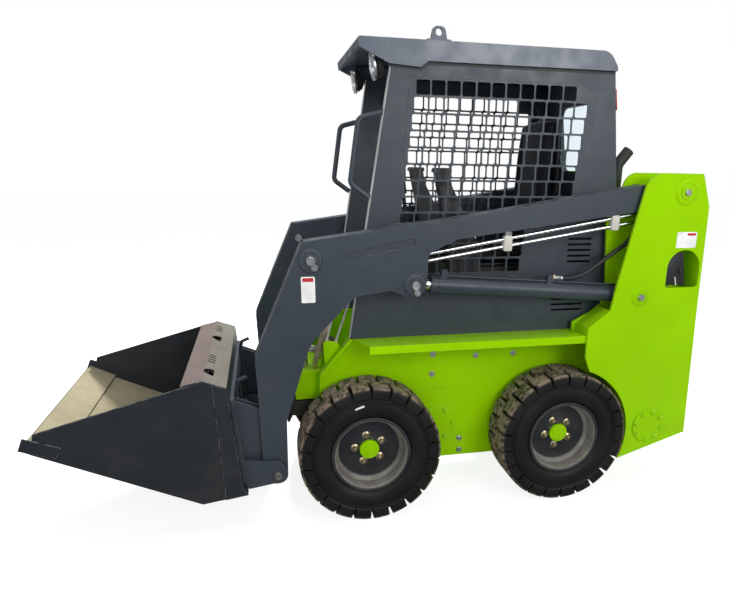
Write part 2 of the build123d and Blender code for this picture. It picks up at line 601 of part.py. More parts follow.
# Lifting eyes on the roof
EYE_BORE = 13.0
EYE_X = -288.5
EYE_PLATE = 12.0
EYE_OUT = ROOF_HALF - 16
with BuildPart() as lifting_eyes:
    side_slab(((EYE_X + 33, ROOF_TOP + SEAT_GAP), (EYE_X + 23, ROOF_TOP + 51), (EYE_X - 23, ROOF_TOP + 51),
               (EYE_X - 33, ROOF_TOP + SEAT_GAP)), EYE_OUT, EYE_PLATE, [0, 20, 20, 0])
    side_disc((EYE_X, ROOF_TOP + 31), EYE_BORE, EYE_OUT + 1, EYE_PLATE + 2, Mode.SUBTRACT)
    # Foot plate on the roof
    block((EYE_X - 45, EYE_X + 45), (EYE_OUT - 28, EYE_OUT + 8), (ROOF_TOP + SEAT_GAP, ROOF_TOP + 6))
    mirror(about=Plane.XZ)
save(lifting_eyes.part, "lifting_eyes")


def behind_cab(z):
    """Place at this height against the outside of the leaning rear wall."""
    share = (z - CAB_BEND_Z) / (ROOF_SKIRT - CAB_BEND_Z)
    return (CAB_REAR + share * (CAB_REAR_TOP - CAB_REAR) - SEAT_GAP, z)


# Tail lamps and exhaust behind the cab
TAIL_LAMP_Z = (ROOF_SKIRT - 145, ROOF_SKIRT - 55)
TAIL_LAMP_DEPTH = 30.0
with BuildPart() as tail_lamps:
    low, high = (behind_cab(z) for z in TAIL_LAMP_Z)
    lens = [(x - TAIL_LAMP_DEPTH, z) for x, z in (low, high)]
    for y in (CAB_HALF - 57, 57 - CAB_HALF):
        side_slab((high, low, *lens), y + 22, 44)
save(tail_lamps.part, "tail_lamps")

with BuildPart() as exhaust:
    with BuildLine(side_plane(CAB_HALF - 72)) as pipe_path:
        FilletPolyline((-1112, HOOD_Z + SEAT_GAP), (-1112, 1440), (-1160, 1500), radius=50)
    with BuildSketch(Plane(origin=pipe_path.line @ 0, z_dir=pipe_path.line % 0)):
        Circle(24)
        Circle(21, mode=Mode.SUBTRACT)
    sweep(path=pipe_path.line)
save(exhaust.part, "exhaust")

# Loader arms: two plates with a box beam behind and a web along the leg
ARM_TOP = ((248, 1151), (-13, 1188), (-120, 1209), (-252, 1220), (-433, 1247), (-1144, 1364))
ARM_FRONT = ((374, 867), (439, 719), (434, 567), (430, 303))
ARM_LEG = ((416, 185), (336, 185), (333, 293), (330, 454), (230, 760), (54, 942), (-88, 961), (-150, 935))
ARM_UNDER = ((-225, 960), (-235, 1100), (-346, 1153), (-1112, 1255), (-1316, 1279))
with BuildPart() as boom_arm:
    arm_outline = ((-1372, 1335), *reversed(ARM_TOP), *ARM_FRONT, *ARM_LEG, *ARM_UNDER)
    arm_radii = [0, 0, 0, 0, 0, 0, 8, 60, 60, 0, 0, 38, 38, 0, 60, 200, 90, 0, 20, 20, 20, 0, 0, 0]
    for outer in (ARM_OUT, ARM_IN + ARM_PLATE):
        side_slab(arm_outline, outer, ARM_PLATE, arm_radii)
    # Box beam and top web between the plates
    side_slab(((-1240, 1340), (-1144, 1363), (-433, 1246), (-252, 1219), (-120, 1208), (-13, 1187),
               (240, 1151), (243, 1139), (-13, 1176), (-240, 1200), (-346, 1154), (-1112, 1256), (-1240, 1271)),
              ARM_OUT - ARM_PLATE, ARM_OUT - ARM_IN - 2 * ARM_PLATE)
    # Webs behind and in front of the tilt cylinder
    for web in (((325, 470), (222, 785), (232, 789), (335, 473)),
                ((240, 1138), (364, 865), (430, 716), (437, 719), (372, 868), (250, 1144))):
        side_slab(web, ARM_OUT - ARM_PLATE, ARM_OUT - ARM_IN - 2 * ARM_PLATE)
    # The beam's plate steps in behind the leg's doubler, and a stiffening groove is pressed in the knee
    side_slab(((-252, 1230), (-252, 1219), (-345, 1186), (-350, 1140), (-1400, 1200), (-1400, 1400)), ARM_OUT,
              DOUBLER_STEP, mode=Mode.SUBTRACT)
    with BuildSketch(side_plane(ARM_OUT)) as groove:
        with Locations((-51, 1122)):
            SlotOverall(270, 28, rotation=-11)
    extrude(groove.sketch, amount=GROOVE_DEPTH, mode=Mode.SUBTRACT)
    # Rear boss and bores
    side_disc(BOOM_PIVOT, 56, ARM_OUT, ARM_OUT - ARM_IN)
    for pin, radius in ((BOOM_PIVOT, BOOM_PIN_RADIUS), (BUCKET_PIVOT, BUCKET_PIN_RADIUS)):
        side_disc(pin, radius + PIN_CLEARANCE, ARM_OUT + 1, ARM_OUT - ARM_IN + 2, Mode.SUBTRACT)
    # Tilt cylinder's upper pin, and the boss on the lift pin's outer end
    for centre in (TILT_BASE, LIFT_EYE):
        side_disc(centre, BOSS_RADIUS, ARM_OUT + 6, 6 + ARM_PLATE)
        side_disc(centre, PIN_RADIUS + 4, ARM_OUT + 9, 9)
    side_disc(TILT_BASE, PIN_RADIUS, ARM_OUT, ARM_OUT - ARM_IN)
save_pair(boom_arm.part, "boom_arm")

# Cross member between the legs
with BuildPart() as boom_cross:
    cross_half = ARM_IN - SEAT_GAP
    block((CROSS_X, CROSS_X + 76), (-cross_half, cross_half), (390, 470))
    block((CROSS_X + 8, CROSS_X + 68), (-cross_half - 1, cross_half + 1), (398, 462), Mode.SUBTRACT)
save(boom_cross.part, "boom_cross_member")

# Hydraulic tubes along the left arm's underside
with BuildPart() as boom_tubes:
    for x_front, z_front, x_rear, z_rear in ((-200, 1091, -1127, 1247), (-200, 1064, -1120, 1213)):
        with BuildLine(side_plane(TUBE_Y)) as tube_path:
            Line((x_front, z_front), (x_rear, z_rear))
        with BuildSketch(Plane(origin=tube_path.line @ 0, z_dir=tube_path.line % 0)):
            Circle(TUBE_RADIUS)
        sweep(path=tube_path.line)
    # Clamp plates hang both tubes from the beam
    for x, low in ((-561, 1110), (-1025, 1187)):
        underside = 1154 + (-346 - x - 14) * (1256 - 1154) / (1112 - 346)
        across = (TUBE_Y - TUBE_RADIUS - 3, TUBE_Y + TUBE_RADIUS + 3)
        block((x - 14, x + 14), across, (low, underside - SEAT_GAP))
save(boom_tubes.part, "boom_tubes")


def along_cylinder(base, eye, y_mid):
    """Plane square to a cylinder at its base pin, its own y pointing up off the lift cylinder's barrel."""
    length = hypot(eye[0] - base[0], eye[1] - base[1])
    return Plane(origin=(FRONT_AXLE_X + base[0], y_mid, base[1]), x_dir=(0, 1, 0),
                 z_dir=((eye[0] - base[0]) / length, 0, (eye[1] - base[1]) / length))


def cylinder_barrel(base, eye, barrel_radius, rod_radius, barrel_length, eye_width, y_mid):
    """Barrel from its base pin, with a closed base eye and a groove before the end gland."""
    origin = along_cylinder(base, eye, y_mid)
    side_disc(base, PIN_RADIUS + 16, y_mid + eye_width / 2, eye_width)
    with BuildSketch(origin.offset(PIN_RADIUS + 4)) as body:
        Circle(barrel_radius)
    extrude(body.sketch, amount=barrel_length - PIN_RADIUS - 4)
    side_disc(base, PIN_RADIUS + PIN_CLEARANCE, y_mid + eye_width, 2 * eye_width, Mode.SUBTRACT)
    with BuildSketch(origin.offset(BORE_START)) as bore:
        Circle(rod_radius + PIN_CLEARANCE)
    extrude(bore.sketch, amount=barrel_length, mode=Mode.SUBTRACT)
    with BuildSketch(origin.offset(barrel_length - GLAND_LENGTH)) as neck:
        Circle(barrel_radius + 1)
        Circle(barrel_radius - 2.5, mode=Mode.SUBTRACT)
    extrude(neck.sketch, amount=-5, mode=Mode.SUBTRACT)


def cylinder_rod(base, eye, rod_radius, eye_width, y_mid):
    """Rod from inside the barrel to its eye, which carries the pin's middle."""
    length = hypot(eye[0] - base[0], eye[1] - base[1])
    with BuildSketch(along_cylinder(base, eye, y_mid).offset(ROD_START)) as body:
        Circle(rod_radius)
    extrude(body.sketch, amount=length - ROD_START)
    side_disc(eye, PIN_RADIUS + 14, y_mid + eye_width / 2, eye_width)
    side_disc(eye, PIN_RADIUS, y_mid + eye_width / 2 + 1, eye_width + 2)


arm_mid = (ARM_OUT + ARM_IN) / 2
with BuildPart() as lift_barrel:
    cylinder_barrel(LIFT_BASE, LIFT_EYE, LIFT_BARREL_RADIUS, LIFT_ROD_RADIUS, LIFT_BARREL_LENGTH,
                    LIFT_EYE_WIDTH, arm_mid)
    # Oil ports on top of the barrel, and the pipe that feeds the far one
    lift_line = along_cylinder(LIFT_BASE, LIFT_EYE, arm_mid)
    pipe_height = LIFT_BARREL_RADIUS + PIPE_RADIUS + 1
    for distance in LIFT_PORTS:
        with BuildSketch(lift_line.offset(distance - PORT_LENGTH / 2)) as port:
            with Locations((0, LIFT_BARREL_RADIUS + PORT_HEIGHT / 2 - PORT_SINK / 2)):
                Rectangle(26, PORT_HEIGHT + PORT_SINK)
        extrude(port.sketch, amount=PORT_LENGTH)
    with BuildSketch(lift_line.offset(BORE_START)) as pipe:
        with Locations((0, pipe_height)):
            Circle(PIPE_RADIUS)
    extrude(pipe.sketch, amount=LIFT_PORTS[1] - BORE_START)
    with BuildSketch(lift_line.offset(BORE_START - 16)) as pipe_foot:
        with Locations((0, LIFT_BARREL_RADIUS + (PORT_HEIGHT - 12 - PORT_SINK) / 2)):
            Rectangle(20, PORT_HEIGHT - 12 + PORT_SINK)
    extrude(pipe_foot.sketch, amount=20)
save_pair(lift_barrel.part, "lift_barrel")

# Hose from the middle port, back and up between the tower's plates
hose_height = LIFT_BARREL_RADIUS + PORT_HEIGHT - HOSE_RADIUS
port_back = LIFT_PORTS[0] - PORT_LENGTH / 2 - SEAT_GAP
hose_ends = [(lift_line * Pos(0, hose_height, distance)).position for distance in (port_back, port_back - 120)]
HOSE = (*((end.X - FRONT_AXLE_X, end.Z) for end in hose_ends), (-1096, 1120), (-1150, 1180))
with BuildPart() as lift_hose:
    with BuildLine(side_plane(arm_mid)) as hose_path:
        FilletPolyline(*HOSE, radius=[180, 40])
    with BuildSketch(Plane(origin=hose_path.line @ 0, z_dir=hose_path.line % 0)):
        Circle(HOSE_RADIUS)
    sweep(path=hose_path.line)
save_pair(lift_hose.part, "lift_hose")

# Lift cylinder's rod, and the tilt cylinder
with BuildPart() as lift_rod:
    cylinder_rod(LIFT_BASE, LIFT_EYE, LIFT_ROD_RADIUS, LIFT_EYE_WIDTH, arm_mid)
save_pair(lift_rod.part, "lift_rod")
with BuildPart() as tilt_barrel:
    cylinder_barrel(TILT_BASE, TILT_EYE, TILT_BARREL_RADIUS, TILT_ROD_RADIUS, TILT_BARREL_LENGTH,
                    TILT_EYE_WIDTH, arm_mid)
save_pair(tilt_barrel.part, "tilt_barrel")
with BuildPart() as tilt_rod:
    cylinder_rod(TILT_BASE, TILT_EYE, TILT_ROD_RADIUS, TILT_EYE_WIDTH, arm_mid)
save_pair(tilt_rod.part, "tilt_rod")

# Bucket's back line, which the coupler plate lies against
BUCKET_TOP_REAR = (546.0, 623.0)
BUCKET_HEEL_REAR = (510.0, 208.0)


def behind_bucket(z, gap):
    """Place at this height and distance behind the bucket's back."""
    share = (z - BUCKET_HEEL_REAR[1]) / (BUCKET_TOP_REAR[1] - BUCKET_HEEL_REAR[1])
    return (BUCKET_HEEL_REAR[0] + share * (BUCKET_TOP_REAR[0] - BUCKET_HEEL_REAR[0]) - gap, z)


# Quick coupler: back plate, ears for the rod eye and lugs round the pivot
with BuildPart() as coupler:
    back = COUPLER_PLATE + SEAT_GAP
    side_slab((behind_bucket(214, SEAT_GAP), behind_bucket(560, SEAT_GAP), behind_bucket(560, back),
               behind_bucket(214, back)), COUPLER_HALF, 2 * COUPLER_HALF)
    # Windows each side of the plate's middle
    with BuildSketch(cross_plane(BUCKET_HEEL_REAR[0] - 2 * back)) as windows:
        for y in (ARM_IN / 2 - 20, 20 - ARM_IN / 2):
            with Locations((y, 395)):
                RectangleRounded(ARM_IN - 120, 200, 30)
    extrude(windows.sketch, amount=100, mode=Mode.SUBTRACT)
    lug = (behind_bucket(306, 4), (363, 289), (330, 247), (350, 201), (488, 181), behind_bucket(214, 2))
    ear = (behind_bucket(550, 4), (446, 512), (404, 482), (335, 240), (360, 190), (488, 186),
           behind_bucket(214, 2))
    # Outer lug beside the arm, two ears between its plates, inner lug
    for outer, thick, points, radii in (
        (COUPLER_HALF, 11, lug, [0, 25, 30, 30, 0, 0]),
        (arm_mid + 24, 8, ear, [0, 30, 30, 30, 30, 0, 0]),
        (arm_mid - 16, 8, ear, [0, 30, 30, 30, 30, 0, 0]),
        (ARM_IN - 5, 11, lug, [0, 25, 30, 30, 0, 0]),
    ):
        side_slab(points, outer, thick, radii)
        side_slab(points, thick - outer, thick, radii)
    pin_end = COUPLER_HALF + 6
    pin_length = pin_end - ARM_IN + 22
    side_disc(BUCKET_PIVOT, BUCKET_PIN_RADIUS, pin_end, pin_length)
    side_disc(BUCKET_PIVOT, BUCKET_PIN_RADIUS, pin_length - pin_end, pin_length)
    # Latch rod and handle each side of the plate's top
    for y in (LATCH_Y, -LATCH_Y):
        rod_foot, rod_top = behind_bucket(470, back + 6), behind_bucket(556, back + 6)
        with BuildLine(side_plane(y)) as latch_path:
            FilletPolyline(rod_foot, rod_top, (rod_top[0] - 8, 592), (rod_top[0] - 42, 606), radius=10)
        with BuildSketch(Plane(origin=latch_path.line @ 0, z_dir=latch_path.line % 0)) as latch_section:
            Circle(LATCH_RADIUS)
        sweep(latch_section.sketch, path=latch_path.line)
save(coupler.part, "coupler")

# Bucket
BEAM_APEX = (630.0, 656.0)
BEAM_REAR = (596.0, 642.0)
BUCKET_SIDE_OUTLINE = (BUCKET_TOP_REAR, BUCKET_HEEL_REAR, (492, 180), (663, 157), (1230, 423), (1210, 497),
                       BEAM_APEX, BEAM_REAR)
bucket_in = BUCKET_HALF - BUCKET_SIDE
with BuildPart() as bucket:
    side_slab(BUCKET_SIDE_OUTLINE, BUCKET_HALF, 2 * BUCKET_HALF)
    side_slab(((636, 720), (624, 600), (558, 575), (522, 214), (530, 188), (663, 168), (1300, 467),
               (1300, 720)), bucket_in, 2 * bucket_in, [0, 20, 20, 60, 0, 60, 0, 0], Mode.SUBTRACT)
    # Spill guard lip over the load, and the hollow of the beam behind it
    side_slab((BEAM_APEX, (708, 640), (706, 640 - BUCKET_SKIN), (628, BEAM_APEX[1] - BUCKET_SKIN)), bucket_in,
              2 * bucket_in)
    side_slab(((553, 616), (598, 633), (621, 643), (617, 607), (556, 584)), bucket_in, 2 * bucket_in,
              mode=Mode.SUBTRACT)
    # Two groups of drain slots in the beam's top, each with a half-round notch beside it
    with BuildSketch(deck_plane(BEAM_APEX[1] + 1)) as openings:
        for y in (-252, 252):
            with Locations((614, y - 87)):
                with GridLocations(1, 30, 1, 4):
                    SlotOverall(30, 12)
        for y in (-165, 339):
            with BuildSketch(mode=Mode.PRIVATE) as half_round:
                with Locations((597, y)):
                    Circle(38)
                with Locations((547, y)):
                    Rectangle(100, 100, mode=Mode.SUBTRACT)
            add(half_round.sketch)
    extrude(openings.sketch, amount=-34, mode=Mode.SUBTRACT)
    # Cutting edge, its end plates, and the doublers up the sides' rear edges
    side_slab(((EDGE_PLATE_X, 381), (REACH_FRONT, 440), (1245, 456), (EDGE_PLATE_X - 5, 402)), BUCKET_HALF,
              2 * BUCKET_HALF)
    end_plate = ((EDGE_PLATE_X - 15, 440), (1245, 486), (REACH_FRONT, 440), (EDGE_PLATE_X + 6, 401))
    for outer in (BUCKET_HALF + DOUBLER, -BUCKET_HALF):
        side_slab(end_plate, outer, DOUBLER)
        side_slab((BUCKET_TOP_REAR, BUCKET_HEEL_REAR, (492, 180), (577, 168), BEAM_REAR), outer, DOUBLER)
save(bucket.part, "bucket")
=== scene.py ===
# %% [markdown]
# # A compact skid steer loader, dressed for a close look
#
# The machine stands on its four wheels with the boom down. Its solids are already exact, so this lesson
# only adds what the eye wants: paint, rubber, chrome, bolts, welds and a padded seat. Sizes and places on
# the machine are in millimetres, as on a maker's drawing, and MM turns them into Blender's metres. What
# belongs to Blender's room and shaders, such as lamps, noises and masks, is in metres.

# %% Load the solids
import math

import bmesh
import bpy
from mathutils import Matrix, Vector


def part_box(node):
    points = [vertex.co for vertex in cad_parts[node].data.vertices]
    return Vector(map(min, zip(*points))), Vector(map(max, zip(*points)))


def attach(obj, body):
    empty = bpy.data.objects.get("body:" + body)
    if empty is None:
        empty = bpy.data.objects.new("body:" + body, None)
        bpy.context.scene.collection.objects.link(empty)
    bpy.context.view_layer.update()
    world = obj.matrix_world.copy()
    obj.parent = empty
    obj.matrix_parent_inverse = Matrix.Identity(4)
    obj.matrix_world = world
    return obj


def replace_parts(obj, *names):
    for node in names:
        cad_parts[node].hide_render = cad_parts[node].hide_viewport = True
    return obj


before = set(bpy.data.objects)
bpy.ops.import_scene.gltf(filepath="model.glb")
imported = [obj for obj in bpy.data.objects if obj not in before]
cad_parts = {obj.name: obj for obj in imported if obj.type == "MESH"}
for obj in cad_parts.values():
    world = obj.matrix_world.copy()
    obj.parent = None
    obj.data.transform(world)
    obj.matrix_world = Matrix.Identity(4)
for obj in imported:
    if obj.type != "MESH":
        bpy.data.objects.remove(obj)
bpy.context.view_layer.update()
MM = 0.001
AXLE_X = (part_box("axle_front")[0].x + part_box("axle_front")[1].x) / 2

# %% [markdown]
# ## Places on the machine
#
# Lengthwise places count forward from the front axle and heights from the floor. Both sides are alike, so a
# sign of 1 for left or -1 for right turns one list of places into two. Round shapes are lathed about an axis
# that points left, and a half turn about X makes the same shape point right.

# %% Places
SIDES = (("left", 1), ("right", -1))
WHEELS = tuple((end, side, sign) for end in ("front", "rear") for side, sign in SIDES)
OUTWARD = {1: Matrix.Identity(3), -1: Matrix.Rotation(math.pi, 3, "X")}
ORIGIN = Vector((0, 0, 0))


def at(x, y, z):
    """A place in millimetres, x counted forward from the front axle, as a point in metres."""
    return Vector((AXLE_X + x * MM, y * MM, z * MM))


def on_side(places, y):
    """These side-view places, all at one y."""
    return [at(x, y, z) for x, z in places]


def circle_of(centre, radius, count, first=0.0):
    """Places evenly round a circle in side view, the first one turned this far, in radians."""
    turns = (first + 2 * math.pi * step / count for step in range(count))
    return [(centre[0] + radius * math.cos(turn), centre[1] + radius * math.sin(turn)) for turn in turns]


def middle(node):
    """The centre of a solid's box, in metres."""
    low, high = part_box(node)
    return (low + high) / 2


def reach_of(node, sign):
    """How far out from the machine's middle a solid reaches on this side, in millimetres."""
    return abs(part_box(node)[1 if sign > 0 else 0].y) / MM


print(len(WHEELS), "wheels on", len(SIDES), "sides")

# %% [markdown]
# ## The camera
#
# The photographer stood to the machine's left, a little ahead of its middle, and looked down slightly.
# Three turns say where the camera looks: yaw about the vertical, pitch down and a small roll. The lens axis
# met the picture right of its middle and below it, and the shift carries that.

# %% Camera
PHOTO_WIDTH, PHOTO_HEIGHT = 730, 612
CAMERA_PLACE = Vector((0.4825, 2.788, 1.427))
YAW, PITCH, ROLL = math.radians(-13.71), math.radians(16.49), math.radians(0.86)
FOCAL_PIXELS = 632.8
LENS_AXIS = (417.4, 352.5)
SENSOR = 36.0

looks_right = Matrix(((-1, 0, 0), (0, 0, -1), (0, -1, 0)))
yawed = Matrix.Rotation(YAW, 3, "Y") @ looks_right
right, down, forward = Matrix.Rotation(ROLL, 3, "Z") @ Matrix.Rotation(PITCH, 3, "X") @ yawed
camera = bpy.data.objects.new("camera", bpy.data.cameras.new("camera"))
bpy.context.scene.collection.objects.link(camera)
facing = Matrix((right, -down, -forward)).transposed().to_4x4()
camera.matrix_world = Matrix.Translation(CAMERA_PLACE) @ facing
camera.data.sensor_width = SENSOR
camera.data.lens = FOCAL_PIXELS / PHOTO_WIDTH * SENSOR
camera.data.shift_x = (PHOTO_WIDTH / 2 - LENS_AXIS[0]) / PHOTO_WIDTH
camera.data.shift_y = (LENS_AXIS[1] - PHOTO_HEIGHT / 2) / PHOTO_WIDTH
camera.data.clip_start, camera.data.clip_end = 0.05, 100
bpy.context.scene.camera = camera
print("lens", round(camera.data.lens, 1), "mm")

# %% [markdown]
# ## Floor, sky and lamps
#
# A white room: sky and floor are white where the camera sees them and dimmer where they light the machine
# or show in its paint. Large lamps overhead and on the left give soft shadows under the deck, and the left
# one's reflection brightens the cab under its roof. A smaller one, low behind the far side like a bright
# window, lights the ledges' tops and throws the bucket side's shadow over the bucket's floor. It isn't
# mirrored, so that it leaves no white streaks.

# %% Shaders for the room
scene = bpy.context.scene
scene.view_settings.view_transform = "Standard"
SKY_LIGHT, SKY_MIRRORED = 0.46, 0.55
FLOOR_LIGHT, FLOOR_MIRRORED, FLOOR_SEEN, FLOOR_GLOW = 0.70, 0.25, 0.30, 0.86


def link_in(tree, source, target):
    """Join two sockets of one node tree."""
    tree.links.new(source, target)


def seen_by(tree, *rays):
    """1 where any of these kinds of ray looks, else 0."""
    path = tree.nodes.new("ShaderNodeLightPath")
    value = path.outputs[rays[0]]
    for ray in rays[1:]:
        larger = tree.nodes.new("ShaderNodeMath")
        larger.operation = "MAXIMUM"
        link_in(tree, value, larger.inputs[0])
        link_in(tree, path.outputs[ray], larger.inputs[1])
        value = larger.outputs[0]
    return value


def choose(tree, share, first, second):
    """One shader where the share is 0, the other where it is 1."""
    mix = tree.nodes.new("ShaderNodeMixShader")
    for socket, source in zip(mix.inputs, (share, first, second)):
        link_in(tree, source, socket)
    return mix.outputs[0]


def by_ray(tree, lighting, mirrored, seen):
    """One shader to light the machine, one for its paint to mirror and one for the camera to see."""
    unseen = choose(tree, seen_by(tree, "Is Glossy Ray"), lighting, mirrored)
    return choose(tree, seen_by(tree, "Is Camera Ray", "Is Transmission Ray"), unseen, seen)


def glow_of(tree, kind, colour, strength):
    """A shader of this kind that gives off a colour."""
    node = tree.nodes.new(kind)
    node.inputs["Color"].default_value = (*colour, 1)
    node.inputs["Strength"].default_value = strength
    return node.outputs[0]


def matt_of(tree, grey):
    """A plain matt grey."""
    node = tree.nodes.new("ShaderNodeBsdfDiffuse")
    node.inputs["Color"].default_value = (grey, grey, grey, 1)
    return node.outputs[0]


print("shaders for a white room are ready")

# %% Sky and floor
world = bpy.data.worlds.new("white_room")
scene.world = world
world.use_nodes = True
sky = world.node_tree
sky.nodes.clear()
lit_sky = glow_of(sky, "ShaderNodeBackground", (0.93, 0.96, 1), SKY_LIGHT)
mirrored_sky = glow_of(sky, "ShaderNodeBackground", (0.90, 0.95, 1), SKY_MIRRORED)
seen_sky = glow_of(sky, "ShaderNodeBackground", (1, 1, 1), 1)
sky_light = by_ray(sky, lit_sky, mirrored_sky, seen_sky)
link_in(sky, sky_light, sky.nodes.new("ShaderNodeOutputWorld").inputs[0])

FLOOR_HALF = 30.0
floor_mesh = bpy.data.meshes.new("floor")
floor_mesh.from_pydata([(x, y, 0) for x, y in ((-1, -1), (1, -1), (1, 1), (-1, 1))], [], [(0, 1, 2, 3)])
floor_mesh.transform(Matrix.Diagonal((FLOOR_HALF, FLOOR_HALF, 1, 1)))
floor = bpy.data.objects.new("floor", floor_mesh)
scene.collection.objects.link(floor)
floor_paint = bpy.data.materials.new("floor_white")
floor_paint.use_nodes = True
floor_tree = floor_paint.node_tree
floor_tree.nodes.clear()
seen_floor = floor_tree.nodes.new("ShaderNodeAddShader")
link_in(floor_tree, matt_of(floor_tree, FLOOR_SEEN), seen_floor.inputs[0])
floor_glow = glow_of(floor_tree, "ShaderNodeEmission", (1, 1, 1), FLOOR_GLOW)
link_in(floor_tree, floor_glow, seen_floor.inputs[1])
lit_floor, mirrored_floor = matt_of(floor_tree, FLOOR_LIGHT), matt_of(floor_tree, FLOOR_MIRRORED)
floor_light = by_ray(floor_tree, lit_floor, mirrored_floor, seen_floor.outputs[0])
link_in(floor_tree, floor_light, floor_tree.nodes.new("ShaderNodeOutputMaterial").inputs[0])
floor.data.materials.append(floor_paint)
print("sky, and a floor", 2 * FLOOR_HALF, "m wide")

# %% Lamps
# Name, place, aim, size in metres and power in watts
LAMPS = (
    ("overhead", (-0.2, 0.6, 4.6), (0, 0, 0.6), 4.0, 78),
    ("left", (-2.3, 5.4, 2.9), (-0.3, 0, 1.4), 2.4, 115),
    ("front_left", (2.6, 3.8, 2.4), (0, 0, 0.7), 2.6, 25),
    ("window", (-0.15, -4.75, 2.9), (1.1, 0, 0.4), 0.7, 640),
)
for name, place, aim, size, power in LAMPS:
    lamp = bpy.data.objects.new(name, bpy.data.lights.new(name, "AREA"))
    scene.collection.objects.link(lamp)
    lamp.data.size, lamp.data.energy = size, power
    lamp.location = place
    lamp.visible_glossy = name != "window"
    lamp.rotation_euler = (Vector(aim) - Vector(place)).to_track_quat("-Z", "Y").to_euler()
print(len(LAMPS), "lamps and a white room")

# %% [markdown]
# ## Materials from a few helpers
#
# Each finish is a Principled shader with a little life in it: broad tone changes, fine grain, dust that
# settles low down and on what faces up, and pale edges: bare where paint rubs off, and on the lime a painted
# highlight of lighter lime. The Bevel node finds those edges, and it also rounds them in the shading, so
# that flat-sided solids catch the light along their corners like real plate.


# %% Starting a material
def new_material(name, colour, roughness, metallic=0.0):
    """A material with its tree, its Principled shader and Object coordinates."""
    made = bpy.data.materials.new(name)
    made.use_nodes = True
    tree = made.node_tree
    shader = tree.nodes["Principled BSDF"]
    shader.inputs["Base Color"].default_value = (*colour, 1)
    shader.inputs["Roughness"].default_value = roughness
    shader.inputs["Metallic"].default_value = metallic
    return made, tree, shader, tree.nodes.new("ShaderNodeTexCoord").outputs["Object"]


def noise(tree, place, scale, detail=3.0, stretch=None):
    """A noise between 0 and 1 at this many bumps a metre, stretched along an axis if asked."""
    if stretch:
        mapping = tree.nodes.new("ShaderNodeMapping")
        mapping.inputs["Scale"].default_value = stretch
        link_in(tree, place, mapping.inputs["Vector"])
        place = mapping.outputs[0]
    node = tree.nodes.new("ShaderNodeTexNoise")
    node.inputs["Scale"].default_value = scale
    node.inputs["Detail"].default_value = detail
    link_in(tree, place, node.inputs["Vector"])
    return node.outputs["Fac"]


# %% Arithmetic on sockets
def ramp(tree, value, low, high, from_value=0.0, to_value=1.0):
    """Stretch the part of a value between low and high, smoothly, and hold it outside."""
    node = tree.nodes.new("ShaderNodeMapRange")
    node.interpolation_type = "SMOOTHSTEP"
    limits = {"From Min": low, "From Max": high, "To Min": from_value, "To Max": to_value}
    for socket, number in limits.items():
        node.inputs[socket].default_value = number
    link_in(tree, value, node.inputs["Value"])
    return node.outputs[0]


def mottle(tree, place, scale, detail, low, high, from_value=0.0, to_value=1.0):
    """A noise, and only its part between low and high."""
    return ramp(tree, noise(tree, place, scale, detail), low, high, from_value, to_value)


def sums(tree, operation, first, second):
    """One step of arithmetic on sockets or numbers."""
    node = tree.nodes.new("ShaderNodeMath")
    node.operation = operation
    for socket, value in zip(node.inputs, (first, second)):
        if isinstance(value, (int, float)):
            socket.default_value = value
        else:
            link_in(tree, value, socket)
    return node.outputs[0]


def product(tree, first, second):
    """Two sockets or numbers multiplied."""
    return sums(tree, "MULTIPLY", first, second)


# %% Colours, bumps and edges
def blend_colours(tree, share, first, second):
    """Mix two colours, each a socket or three numbers, by a share between 0 and 1."""
    node = tree.nodes.new("ShaderNodeMix")
    node.data_type = "RGBA"
    link_in(tree, share, node.inputs["Factor"])
    for socket, colour in ((node.inputs[6], first), (node.inputs[7], second)):
        if isinstance(colour, tuple):
            socket.default_value = (*colour, 1)
        else:
            link_in(tree, colour, socket)
    return node.outputs[2]


def bump(tree, shader, height, depth, normal=None):
    """Raise the surface by a height between 0 and 1, this many metres deep."""
    node = tree.nodes.new("ShaderNodeBump")
    node.inputs["Strength"].default_value = 1.0
    node.inputs["Distance"].default_value = depth
    link_in(tree, height, node.inputs["Height"])
    if normal:
        link_in(tree, normal, node.inputs["Normal"])
    link_in(tree, node.outputs[0], shader.inputs["Normal"])


def rounded_edges(tree, radius):
    """The normal with its edges rounded in the shading, and how near an edge is, from 0 to 1."""
    bevel = tree.nodes.new("ShaderNodeBevel")
    bevel.samples = 4
    bevel.inputs["Radius"].default_value = radius
    geometry = tree.nodes.new("ShaderNodeNewGeometry")
    dot = tree.nodes.new("ShaderNodeVectorMath")
    dot.operation = "DOT_PRODUCT"
    link_in(tree, bevel.outputs[0], dot.inputs[0])
    link_in(tree, geometry.outputs["Normal"], dot.inputs[1])
    return bevel.outputs[0], ramp(tree, dot.outputs["Value"], 0.995, 0.9)


def parts_of(tree, vector):
    """The x, y and z of a vector socket."""
    split = tree.nodes.new("ShaderNodeSeparateXYZ")
    link_in(tree, vector, split.inputs[0])
    return split.outputs


def face_parts(tree, kind="True Normal"):
    """The x, y and z of the way a face looks."""
    return parts_of(tree, tree.nodes.new("ShaderNodeNewGeometry").outputs[kind])


def repaint(tree, shader, share, second):
    """Blend a second colour over what already colours a shader."""
    base = shader.inputs["Base Color"]
    link_in(tree, blend_colours(tree, share, base.links[0].from_socket, second), base)


print("material helpers are ready")

# %% [markdown]
# ## The paints
#
# Two enamels cover most of the machine: a lime green on the frame and a dark slate on cab, boom and bucket.
# Both are sprayed over plate, so they show a faint orange peel, a few greasy patches and pale lines along
# handled edges: bare lines on the slate and a painted highlight of lighter lime on the lime. The roof
# mirrors the pale sky beside it, which a lighter tone painted on its sides stands for.

# %% Painted steel
DUST = (0.24, 0.19, 0.13)
TONE_SCALE, PATCH_SCALE, GLOSS_SCALE, RUB_SCALE, PEEL_SCALE = 2.2, 9, 14, 38, 420
DUSTY_HEIGHT = (0.1, 0.9)
PEEL_DEPTH = 0.00006


